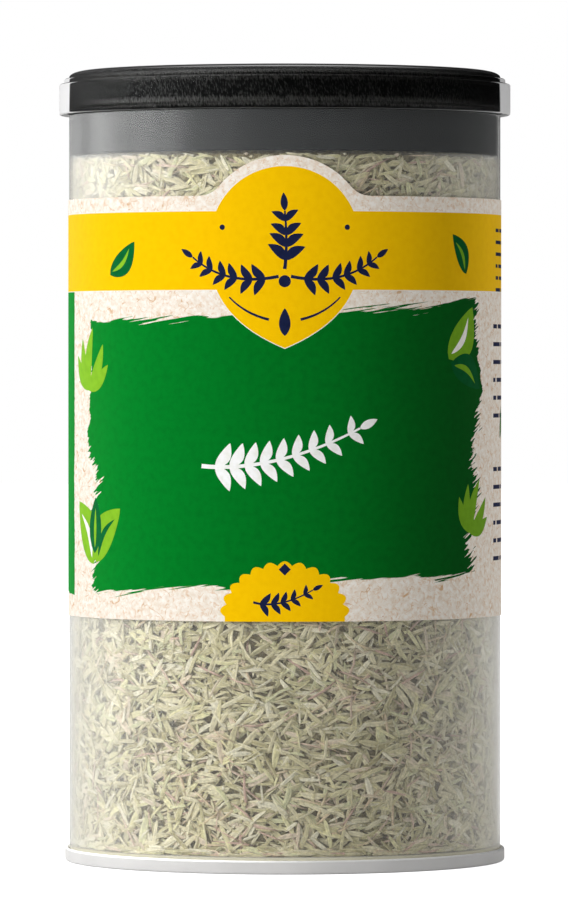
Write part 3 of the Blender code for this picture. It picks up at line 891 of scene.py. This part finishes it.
# %% Ruled panels at the sides and on the back
RULE_ROWS = 6
BAR_GAP = 0.8
BAR_LENGTHS = (2.6, 4.4, 1.5, 5.6, 3.3, 2.1, 6.3)


def ruled(left, right, top, gap, thickness=0.7):
    """Rows of short bars, with a shorter last row."""
    for row in range(RULE_ROWS):
        height = top - row * gap
        end = right - (right - left) * (0.28 if row == RULE_ROWS - 1 else 0)
        over = height + thickness
        start, bar = left, row * 3
        while start < end:
            stop = min(start + BAR_LENGTHS[bar % len(BAR_LENGTHS)], end)
            ink("navy", (start, height), (stop, height), (stop, over), (start, over))
            start, bar = stop + BAR_GAP, bar + 1


ruled(46.4, 84.0, 90.0, 3.0)
ruled(46.4, 84.0, 66.0, 3.0)
ruled(-86.0, -56.0, 106.2, 2.0, 0.6)
ruled(48.0, 82.0, 106.2, 2.0, 0.6)
for along in (52.0, 58.0, 64.0, 70.0, 76.0):
    veined_leaf("deep_green", "leaf_green", along, 71.5, 6.0, 2.8, 20)
sprig("leaf_green", (90.0, 48.0), (100.0, 62.0), (94.0, 88.0), 10, 6.5, 0.8)
print(len(prints), "shapes printed in all")

# %% [markdown]
# The label is uncoated kraft-like paper, made from pulp with long tan fibres in it. Thin curly lines
# are where a noise passes through its middle value, and a second, larger noise breaks them into
# short fibres. The green field was laid on with a dry brush. Its edge is a distance that is roughened
# by a noise drawn out sideways, so that it frays into bristle marks at both ends. The other inks are
# even, thin and matt, with a little of the paper's cloudiness in them. The green and yellow inks also
# carry painted shade, which darkens them towards the right of the front and fades out round the back.
# All scales here are to a millimetre of the sheet, so the coarse fibres are about 0.6 mm apart and
# the long fine ones 3 mm.

# %% Paper and its green field
FIBRES = ((1.7, 0.1, 1.3, 0.48, 0.3, "e8ccae"), (0.85, 0.05, 0.8, 0.48, 0.5, "deb68c"),
          (0.3, 0.013, 0.4, 0.53, 0.7, "cf9a55"))
RUN_FROM = -60.0
RUN_TO = 90.0


def fibres(tree, place, per_mm, thin, gate_per_mm, gate_from):
    """Short curly lines: 1 on a fibre and 0 off it. The place is in millimetres."""
    curls = put(tree, "TexNoise", {"Vector": place, "Scale": per_mm, "Detail": 1.0, "Distortion": 0.6})
    off = put(tree, "Math", (curls, 0.5), operation="SUBTRACT")
    away = put(tree, "Math", (off,), operation="ABSOLUTE")
    line = put(tree, "MapRange", {
        "Value": away, "From Min": thin, "From Max": thin * 0.3, "To Min": 0.0, "To Max": 1.0,
    })
    gate = put(tree, "TexNoise", {"Vector": place, "Scale": gate_per_mm, "Detail": 1.0})
    open_gate = put(tree, "MapRange", {
        "Value": gate, "From Min": gate_from, "From Max": gate_from + 0.04,
    })
    return put(tree, "Math", (line, open_gate), operation="MULTIPLY")


def sheet_place(tree):
    """The flat sheet's own place in millimetres, as a vector and as its two parts."""
    flat_place = put(tree, "UVMap", uv_map="sheet")
    scaled = put(tree, "VectorMath", {0: flat_place, "Scale": 1000.0}, operation="SCALE")
    parts = put(tree, "SeparateXYZ", {"Vector": scaled}, out=None)
    return scaled, parts["X"], parts["Y"]


def paper_colour(tree, place):
    """Pulp with coarse, middling and fine fibres over it, and a few brown specks."""
    pulp = put(tree, "TexNoise", {"Vector": place, "Scale": 1.1, "Detail": 5.0})
    colour = put(tree, "ValToRGB", {"Fac": pulp}, stops=[
        (0.36, srgb("efe2d2")), (0.48, srgb("f6ecdf")), (0.62, srgb("fdf7ee")),
    ])
    for per_mm, thin, gate_per_mm, gate_from, strength, code in FIBRES:
        there = fibres(tree, place, per_mm, thin, gate_per_mm, gate_from)
        amount = put(tree, "Math", (there, strength), operation="MULTIPLY")
        tones = {"Factor": amount, 6: colour, 7: srgb(code)}
        colour = put(tree, "Mix", tones, out=2, data_type="RGBA")
    bits = put(tree, "TexVoronoi", {"Vector": place, "Scale": 0.3})
    speck = put(tree, "MapRange", {"Value": bits, "From Min": 0.05, "From Max": 0.03})
    specks = put(tree, "Math", (speck, 0.75), operation="MULTIPLY")
    tones = {"Factor": specks, 6: colour, 7: srgb("bd6a2c")}
    return put(tree, "Mix", tones, out=2, data_type="RGBA")


def noise_drawn(tree, place, turn_deg, scale, detail):
    """A noise that is turned on the sheet and then drawn out, in millimetres."""
    turned_place = put(tree, "Mapping", {"Vector": place, "Rotation": (0, 0, math.radians(turn_deg))})
    drawn = put(tree, "Mapping", {"Vector": turned_place, "Scale": (*scale, 1.0)})
    value = put(tree, "TexNoise", {"Vector": drawn, "Scale": 1.0, "Detail": detail})
    return put(tree, "Math", (value, 0.5), operation="SUBTRACT")


def brushed_field(tree, place, along, up, block, slope, fray):
    """1 where the brush left ink: a block of (middle, half width, low, high) with frayed edges."""
    middle, half, low, high = block
    streaks = noise_drawn(tree, place, -27, (0.2, 2.0), 3.0)
    hairs = noise_drawn(tree, place, -8, (0.08, 2.3), 3.0)
    swing = noise_drawn(tree, place, 0, (0.02, 0.07), 3.0)
    sway = noise_drawn(tree, place, 0, (0.05, 0.02), 3.0)
    patchy = noise_drawn(tree, place, 0, (0.045, 0.06), 2.0)
    ragged = put(tree, "MapRange", {
        "Value": patchy, "From Min": -0.05, "From Max": 0.13, "To Min": 1.6 * fray,
        "To Max": 14.0 * fray,
    })
    aside = put(tree, "Math", (along, middle), operation="SUBTRACT")
    off = put(tree, "Math", (aside,), operation="ABSOLUTE")
    straight = put(tree, "Math", (half, off), operation="SUBTRACT")
    swung = put(tree, "Math", (swing, 15.0 * fray), operation="MULTIPLY")
    room = put(tree, "Math", (straight, swung), operation="ADD")
    bristles = put(tree, "Math", (streaks, ragged), operation="MULTIPLY")
    frayed = put(tree, "Math", (room, bristles), operation="ADD")
    ends = put(tree, "MapRange", {"Value": frayed, "From Min": -0.08, "From Max": 0.08})
    lean = put(tree, "Math", (aside, slope), operation="MULTIPLY")
    leaned = put(tree, "Math", (up, lean), operation="SUBTRACT")
    swayed = put(tree, "Math", (sway, 8.0), operation="MULTIPLY")
    level = put(tree, "Math", (leaned, swayed), operation="SUBTRACT")
    top = put(tree, "Math", (high, level), operation="SUBTRACT")
    bottom = put(tree, "Math", (level, low), operation="SUBTRACT")
    half_ragged = put(tree, "Math", (ragged, 0.5), operation="MULTIPLY")
    split = put(tree, "Math", (hairs, half_ragged), operation="MULTIPLY")
    nearest = put(tree, "Math", (top, bottom), operation="MINIMUM")
    inside = put(tree, "Math", (nearest, split), operation="ADD")
    sides = put(tree, "MapRange", {"Value": inside, "From Min": -0.06, "From Max": 0.06})
    return put(tree, "Math", (ends, sides), operation="MULTIPLY")


def inked(name, colour_of, roughness=0.52, bump_share=0.25):
    """Printed paper: its colour comes from a function, and the pulp gives it a faint tooth."""
    material, tree = new_material(name)
    place, along, up = sheet_place(tree)
    tooth = put(tree, "TexNoise", {"Vector": place, "Scale": 4.5, "Detail": 4.0})
    bump = put(tree, "Bump", {"Height": tooth, "Strength": bump_share, "Distance": 0.03 * MM})
    shader = put(tree, "BsdfPrincipled", {
        "Base Color": colour_of(tree, place, along, up), "Roughness": roughness, "Normal": bump,
        "Specular IOR Level": 0.03,
    })
    put(tree, "OutputMaterial", {"Surface": shader}, out=None)
    return material


def grained(code, shade, painted_shade_run=None):
    """An even ink with a little of the paper's cloudiness in it, which can carry painted shade along the
    sheet.
    """
    def colour(tree, place, along, up):
        cloud = put(tree, "TexNoise", {"Vector": place, "Scale": 0.8, "Detail": 6.0})
        even = put(tree, "ValToRGB", {"Fac": cloud}, stops=[(0.3, srgb(shade)), (0.6, srgb(code))])
        if painted_shade_run is None:
            return even
        # Painted shade: the ink is darkened by a share that follows its place along the sheet.
        run = put(tree, "MapRange", {"Value": along, "From Min": RUN_FROM, "From Max": RUN_TO})
        shares = [((at - RUN_FROM) / (RUN_TO - RUN_FROM), grey(share)) for at, share in painted_shade_run]
        light = put(tree, "ValToRGB", {"Fac": run}, stops=shares)
        return put(tree, "VectorMath", (even, light), operation="MULTIPLY")
    return colour


# Painted shade: these shares darken the green and yellow inks towards the right of the front, where the
# light falls off.
GREEN_PAINTED_SHADE = ((-60, 1.0), (-34, 1.0), (-23, 0.9), (-15, 0.84), (-7, 0.79), (0, 0.76), (8, 0.73), (15, 0.65),
             (24, 0.52), (34, 0.38), (44, 0.36), (85, 1.0))
LEAF_INK_PAINTED_SHADE = ((-60, 1.0), (10, 1.0), (30, 0.72), (44, 0.72), (85, 1.0))
YELLOW_PAINTED_SHADE = ((-60, 1.0), (12, 1.0), (22, 0.97), (30, 0.8), (36, 0.85), (44, 0.97), (85, 1.0))
GREEN = grained("008327", "007a24", GREEN_PAINTED_SHADE)


def paper_and_field(tree, place, along, up):
    """Bare paper with one brushed block in front and a second one towards the back."""
    field = brushed_field(tree, place, along, up, (-0.5, 39.0, 47.6, 92.8), 0.05, 1.0)
    rear = brushed_field(tree, place, along, up, (-71.5, 24.0, 46.0, 103.0), 0.0, 0.12)
    painted = put(tree, "Math", (field, rear), operation="MAXIMUM")
    layers = {"Factor": painted, 6: paper_colour(tree, place), 7: GREEN(tree, place, along, up)}
    return put(tree, "Mix", layers, out=2, data_type="RGBA")


label_inks = {
    "paper": inked("fibre_paper_with_brushed_green", paper_and_field, 0.6, 0.5),
    "white": inked("white_ink", grained("fbf8f2", "f1ece4")),
    "yellow": inked("yellow_ink", grained("ffca02", "fbc400", YELLOW_PAINTED_SHADE)),
    "navy": inked("navy_ink", grained("1c2447", "181f3e")),
    "leaf_green": inked("leaf_green_ink", grained("88c02a", "7eb626", LEAF_INK_PAINTED_SHADE)),
    "deep_green": inked("deep_green_ink", grained("006630", "005a28", LEAF_INK_PAINTED_SHADE)),
    "white_sprig": inked("white_sprig_ink", grained("ffffff", "f2f2ec")),
}

# %% [markdown]
# Now the flat sheet is cut along every outline and wrapped. Upright cuts every 1.9 degrees let it
# bend round the tube as smoothly as the tube itself. Its place along and up the sheet is kept as a UV
# map in metres, so the paper's fibres and the brushed green field follow the sheet.

# %% Cut, wrap and thicken the sheet
COLUMN_DEG = 360 / SIDES
column = sheet_radius * math.radians(COLUMN_DEG)
half_columns = SIDES // 2
stops = [i * column for i in range(-half_columns, half_columns + round(LAP_STEP_DEG / COLUMN_DEG) + 1)]
stops = sorted(stops + [(i + 0.5) * column for i in range(-18, 18)])
sheet_outline = [(s, label_low) for s in stops] + [(s, sheet_top(s)) for s in reversed(stops)]
corners = list(sheet_outline)
count = len(stops)
cuts = [(i, 2 * count - 1 - i) for i in range(1, count - 1)]
shapes = [list(range(2 * count))]
for _, points in prints:
    shapes.append(list(range(len(corners), len(corners) + len(points))))
    corners += points
flat, _, pieces, _, _, covered = delaunay_2d_cdt([Vector(p) for p in corners], cuts, shapes, 1, 1e-7)
kept = [(piece, over) for piece, over in zip(pieces, covered) if 0 in over]
kept = [(piece, prints[max(over) - 1][0] if max(over) > 0 else 0) for piece, over in kept]
lift_from = half_sheet - 2 * lap_step


def wrapped(along, up):
    """A flat point's place on the tube. The lap rises over one step and lies on the sheet's start."""
    raised = min(1.0, max(0.0, (along - lift_from) / lap_step))
    radius = sheet_radius + PAPER + (PAPER + PAPER_GAP) * raised
    turn = along / sheet_radius - math.pi / 2
    return (radius * math.cos(turn), radius * math.sin(turn), up)


mesh = bpy.data.meshes.new("printed_label")
mesh.from_pydata([wrapped(p.x, p.y) for p in flat], [], [piece for piece, _ in kept])
for name in INKS:
    mesh.materials.append(label_inks[name])
mesh.polygons.foreach_set("material_index", [ink_index for _, ink_index in kept])
sheet_map = mesh.uv_layers.new(name="sheet")
for loop in mesh.loops:
    sheet_map.data[loop.index].uv = flat[loop.vertex_index]
label = bpy.data.objects.new("printed_label", mesh)
bpy.context.scene.collection.objects.link(label)
bpy.ops.object.select_all(action="DESELECT")
label.select_set(True)
bpy.context.view_layer.objects.active = label
bpy.ops.object.mode_set(mode="EDIT")
bpy.ops.mesh.select_all(action="SELECT")
bpy.ops.mesh.delete_loose(use_edges=True, use_faces=False)
bpy.ops.object.mode_set(mode="OBJECT")
thick = label.modifiers.new("paper", "SOLIDIFY")
thick.thickness = PAPER
thick.offset = -1.0
bpy.ops.object.modifier_apply(modifier=thick.name)
bpy.ops.object.shade_smooth_by_angle(angle=math.radians(30))
print("the label has", len(label.data.polygons), "faces")
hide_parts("label")
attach(label, "root")

# %% [markdown]
# Dried thyme is thousands of narrow grey-green leaves, with edges rolled under and a groove along
# the middle, and here and there a thin pinkish stalk. One could scatter them by simulation. Since
# only the outer layers ever show through the wall, it is quicker and tidier to model a few leaves,
# then copy them in layers just inside the wall, each with its own turn, bend, size and colour.

# %% Leaf and stalk models


def drawn_out(name, sides, rings, flatness):
    """A closed lens-shaped solid drawn out along Z from (height, half width) rings."""
    made = start_ring(name, sides, (0, 0, rings[0][0]), rings[0][1])
    height, width = rings[0]
    for next_height, next_width in rings[1:]:
        bpy.ops.mesh.extrude_edges_move(TRANSFORM_OT_translate={"value": (0, 0, next_height - height)})
        size = next_width / width
        bpy.ops.transform.resize(value=(size, size, 1), center_override=(0, 0, next_height))
        height, width = next_height, next_width
    bpy.ops.mesh.merge(type="CENTER")
    bpy.ops.mesh.select_all(action="DESELECT")
    bpy.ops.mesh.select_non_manifold()
    bpy.ops.mesh.merge(type="CENTER")
    bpy.ops.mesh.select_all(action="SELECT")
    bpy.ops.transform.resize(value=(1, flatness, 1), center_override=(0, 0, 0))
    bpy.ops.mesh.normals_make_consistent(inside=False)
    bpy.ops.object.mode_set(mode="OBJECT")
    return made


def press_groove(leaf, depth):
    """Sinks the middle of the leaf's upper face to make its groove."""
    bpy.ops.object.mode_set(mode="EDIT")
    shape = bmesh.from_edit_mesh(leaf.data)
    for point in shape.verts:
        point.select = abs(point.co.x) < 1e-5 and point.co.y > 1e-5
    shape.select_flush_mode()
    bmesh.update_edit_mesh(leaf.data)
    bpy.ops.transform.translate(value=(0, -depth, 0))
    bpy.ops.object.mode_set(mode="OBJECT")


def points_and_faces(model):
    """The model's points as an array, with its length along the first column, and its triangles."""
    points = np.empty(len(model.data.vertices) * 3)
    model.data.vertices.foreach_get("co", points)
    model.data.calc_loop_triangles()
    faces = np.empty(len(model.data.loop_triangles) * 3, dtype=np.int32)
    model.data.loop_triangles.foreach_get("vertices", faces)
    bpy.data.objects.remove(model)
    return points.reshape(-1, 3)[:, [2, 0, 1]], faces.reshape(-1, 3)


LEAF_RINGS = [(-0.49, 0.16), (-0.36, 0.62), (-0.12, 1.0), (0.14, 0.94), (0.36, 0.52), (0.485, 0.12)]
SLIM_RINGS = [(-0.49, 0.3), (-0.3, 0.9), (0.05, 1.0), (0.33, 0.72), (0.485, 0.2)]
STALK_RINGS = [(-0.49, 0.7), (-0.2, 1.0), (0.02, 0.8), (0.06, 1.25), (0.1, 0.8), (0.495, 0.75)]
models = []
for kind, rings, flatness, groove in (
    ("broad_leaf", LEAF_RINGS, 0.34, 0.3), ("slim_leaf", SLIM_RINGS, 0.55, 0.42),
):
    leaf = drawn_out(kind, 8, rings, flatness)
    press_groove(leaf, groove)
    models.append(points_and_faces(leaf))
models.append(points_and_faces(drawn_out("stalk", 5, STALK_RINGS, 0.9)))
models.append(points_and_faces(drawn_out("crumb", 5, [(-0.4, 0.6), (0.0, 1.0), (0.35, 0.5)], 0.6)))
print("triangles in one leaf, slim leaf, stalk and crumb:", [len(faces) for _, faces in models])

# %% [markdown]
# Each copy gets its own length, width, turn, tilt and bend, and its place is then wrapped on to the
# wall's curve. Most lie in three thin layers against the wall, and some lie flat on the tin, as leaves
# do that have settled. All random numbers come from one seed, so every run gives the same heap.

# %% Lay the leaves in layers inside the wall
SEED = 21
LAYERS = ((0.05, 0.35, 0.42), (0.4, 0.45, 0.34), (0.9, 0.5, 0.24))
COUNT = 13500
SETTLED_SHARE = 22
WALL_SKIN = 0.06 * MM
LEAF_FLOOR = panel_top + 0.05 * MM
SETTLED_DEEP = 0.8 * MM
KIND_SHARES = [0.41, 0.38, 0.08, 0.13]
WINDOWS = ((LEAF_FLOOR, label_low + 1.5 * MM), (110.5 * MM, plug_low - 0.1 * MM))
TONES = ["e3dbba", "d8d1aa", "ebe4c6", "f2edd8", "ccc59b", "ebe6b9", "dcdcb4", "e8d8c4", "b8af86"]
TONE_SHARES = [0.2, 0.17, 0.17, 0.12, 0.09, 0.06, 0.09, 0.06, 0.04]
STALK_TONES = ["dfc6b8", "e2cdb2", "d3b3a8", "dccbac"]
draw = np.random.default_rng(SEED)
wall_inside = tube_inner - WALL_SKIN


def lay(model, length, width, along, up, depth, turn, roll, pitch, bend, curl):
    """A copy of a model, bent, turned and laid in the wall's curve. Along and up are on the wall."""
    u, v, w = model.T
    u = u * length
    v = v * width / 2 + bend * u * u / length
    w = w * width / 2 + curl * u * u / length
    v, w = v * math.cos(roll) - w * math.sin(roll), v * math.sin(roll) + w * math.cos(roll)
    u, w = u * math.cos(pitch) - w * math.sin(pitch), u * math.sin(pitch) + w * math.cos(pitch)
    across = u * math.cos(turn) - v * math.sin(turn)
    rise = u * math.sin(turn) + v * math.cos(turn)
    radius = wall_inside - depth + w
    radius = np.minimum(radius, wall_inside)
    angle = (along + across) / wall_inside - math.pi / 2
    return np.stack([radius * np.cos(angle), radius * np.sin(angle), up + rise], axis=1)


def window_heights(count):
    """Heights spread evenly over both clear windows. The upper one is also open round the arch."""
    spans = [high - low for low, high in WINDOWS]
    pick = draw.random(count) * sum(spans)
    return np.where(pick < spans[0], WINDOWS[0][0] + pick, WINDOWS[1][0] + pick - spans[0])


def heap_part(name, count):
    """One mesh of leaves and stalks, with each one's colour kept as an attribute."""
    ups = window_heights(count)
    ups[:count // SETTLED_SHARE] = LEAF_FLOOR + draw.random(count // SETTLED_SHARE) * SETTLED_DEEP
    all_points, all_faces, tones, ribs = [], [], [], []
    start = 0
    for up in ups:
        along = draw.uniform(-math.pi, math.pi) * wall_inside
        layer = draw.choice(len(LAYERS), p=[share for _, _, share in LAYERS])
        depth = (LAYERS[layer][0] + draw.random() * LAYERS[layer][1]) * MM
        kind = draw.choice(4, p=KIND_SHARES)
        if kind == 2:
            length, width = draw.uniform(4.0, 8.5) * MM, draw.uniform(0.32, 0.6) * MM
            tone = srgb(STALK_TONES[draw.integers(len(STALK_TONES))])
        else:
            length = draw.normal(4.4, 1.0) * MM if kind < 2 else draw.uniform(0.7, 1.8) * MM
            length = min(max(length, 0.6 * MM), 7.4 * MM)
            width = length * (draw.uniform(0.18, 0.27), draw.uniform(0.11, 0.16), 0, 0.5)[kind]
            tone = srgb(TONES[draw.choice(len(TONES), p=TONE_SHARES)])
        model, faces = models[kind]
        turn = draw.uniform(0, math.pi) if draw.random() < 0.45 else draw.normal(0.0, 0.55)
        if up < LEAF_FLOOR + SETTLED_DEEP:
            turn = draw.normal(0.0, 0.08)
        low, high = WINDOWS[0] if up < WINDOWS[0][1] else WINDOWS[1]
        reach_up = abs(math.sin(turn)) * length / 2 + width / 2
        lowest = low + 0.05 * MM + (reach_up if low == LEAF_FLOOR else 0)
        highest = high - (reach_up + 0.1 * MM if high > LABEL_TOP else 0)
        up = min(max(up, lowest), highest)
        points = lay(model, length, width, along, up, depth + width * 0.2, turn, draw.normal(0, 0.38),
                     draw.normal(0, 0.06), draw.normal(0, 0.16), draw.normal(-0.12, 0.12))
        all_points.append(points)
        all_faces.append(faces + start)
        start += len(points)
        shade = 0.98 + 0.22 * draw.random()
        tones.append(np.tile(np.array([*tone[:3], 1.0]) * (shade, shade, shade, 1.0), (len(points), 1)))
        ribs.append(np.stack([model[:, 0] + 0.5, model[:, 1] * 0.5 + 0.5], axis=1))
    mesh = bpy.data.meshes.new(name)
    mesh.from_pydata(np.concatenate(all_points), [], np.concatenate(all_faces))
    mesh.shade_smooth()
    colours = mesh.color_attributes.new("leaf_tone", "FLOAT_COLOR", "POINT")
    colours.data.foreach_set("color", np.concatenate(tones).ravel())
    places = np.concatenate(ribs)
    corner_points = np.empty(len(mesh.loops), dtype=np.int32)
    mesh.loops.foreach_get("vertex_index", corner_points)
    blade_map = mesh.uv_layers.new(name="blade")
    blade_map.data.foreach_set("uv", places[corner_points].ravel())
    part = bpy.data.objects.new(name, mesh)
    bpy.context.scene.collection.objects.link(part)
    print(name, len(mesh.polygons), "triangles")
    return part


PARTS = 5
heap_parts = [heap_part(f"thyme_leaves_{index + 1}", COUNT // PARTS) for index in range(PARTS)]

# %% [markdown]
# A dried leaf is matt and grey-green, paler on its rolled edges. That pale edge is partly real and
# partly a painted highlight. The colour is darker along the groove, which is painted shade, and a thin
# dark outline round each leaf is painted shade for the gaps between leaves. The leaves lie every way,
# so a pattern in space can't follow them. Each leaf carries its own colour, and a UV map across its
# blade says where groove, edge and rim are. A mottle of about half a millimetre breaks up each tone,
# as wrinkles do.

# %% Dried leaf


def make_leaf():
    """The leaf's own tone, with painted shade in its groove and round its outline, and pale edges that are
    partly a painted highlight.
    """
    material, tree = new_material("dried_thyme_leaf")
    tone = put(tree, "Attribute", attribute_name="leaf_tone", attribute_type="GEOMETRY")
    place = put(tree, "TexCoord", out="Object")
    across = put(tree, "SeparateXYZ", {"Vector": put(tree, "UVMap", uv_map="blade")}, out="Y")
    aside = put(tree, "Math", (across, 0.5), operation="SUBTRACT")
    off = put(tree, "Math", (aside,), operation="ABSOLUTE")
    # Painted shade: the colour is darker along the groove.
    painted_groove_shade = put(tree, "MapRange", {
        "Value": off, "From Min": 0.0, "From Max": 0.16, "To Min": 0.84, "To Max": 1.0,
    })
    # Partly the leaf's real pale rolled edge and partly a painted highlight: the colour turns pale towards
    # the edges.
    edge = put(tree, "MapRange", {
        "Value": off, "From Min": 0.26, "From Max": 0.4, "To Min": 0.0, "To Max": 0.5,
    })
    # Painted shade: a thin dark outline at the very edge stands for the gaps between leaves.
    rim = put(tree, "MapRange", {
        "Value": off, "From Min": 0.43, "From Max": 0.49, "To Min": 1.0, "To Max": 0.45,
    })
    mottle = put(tree, "TexNoise", {"Vector": place, "Scale": 1800.0, "Detail": 3.0})
    patch = put(tree, "MapRange", {
        "Value": mottle, "From Min": 0.3, "From Max": 0.7, "To Min": 0.8, "To Max": 1.2,
    })
    groove_shade_and_mottle = put(tree, "Math", (painted_groove_shade, patch), operation="MULTIPLY")
    shaded = put(tree, "VectorMath", {0: tone, "Scale": groove_shade_and_mottle}, operation="SCALE")
    pale = put(tree, "Mix", {"Factor": edge, 6: shaded, 7: srgb("f0ebd2")}, out=2, data_type="RGBA")
    outlined = put(tree, "VectorMath", {0: pale, "Scale": rim}, operation="SCALE")
    bump = put(tree, "Bump", {"Height": mottle, "Strength": 0.35, "Distance": 0.1 * MM})
    shader = put(tree, "BsdfPrincipled", {
        "Base Color": outlined, "Roughness": 0.7, "Normal": bump, "Specular IOR Level": 0.3,
    })
    put(tree, "OutputMaterial", {"Surface": shader}, out=None)
    return material


dried_leaf = make_leaf()
for part in heap_parts:
    dress(part, dried_leaf, "dried_thyme", "thyme_fill")

# %% [markdown]
# Behind the outer layers no single leaf can be made out. A plain turned core stands for the rest of
# the heap, in the darker tones of leaf crumbs in shade. Its grain is about 1 mm, as crumbs are, and
# breaks up the light that falls between the leaves.

# %% Heap behind the leaves
CORE_RADIUS = 34.2 * MM
NECK_RADIUS = 33.4 * MM


def make_crumbs():
    """Crumbs too small to tell apart, as a coarse grain in three tones."""
    material, tree = new_material("thyme_crumbs_in_shade")
    place = put(tree, "TexCoord", out="Object")
    grain = put(tree, "TexNoise", {"Vector": place, "Scale": 900.0, "Detail": 5.0})
    colour = put(tree, "ValToRGB", {"Fac": grain}, stops=[
        (0.35, srgb("7a6e4e")), (0.55, srgb("a89c74")), (0.7, srgb("d0c7a0")),
    ])
    bump = put(tree, "Bump", {"Height": grain, "Strength": 1.0, "Distance": 0.8 * MM})
    shader = put(tree, "BsdfPrincipled", {"Base Color": colour, "Roughness": 0.9, "Normal": bump})
    put(tree, "OutputMaterial", {"Surface": shader}, out=None)
    return material


core = turned("thyme_core", [
    (POLE, heap_low), (CORE_RADIUS, heap_low + 0.1 * MM), (CORE_RADIUS, plug_low - 0.6 * MM),
    (NECK_RADIUS, plug_low), (NECK_RADIUS, heap_high - 2.2 * MM), (0.7 * NECK_RADIUS, heap_high - 0.9 * MM),
    (POLE, heap_high - 0.4 * MM),
], closed=False)
dress(core, make_crumbs(), "dried_thyme", "thyme_fill")
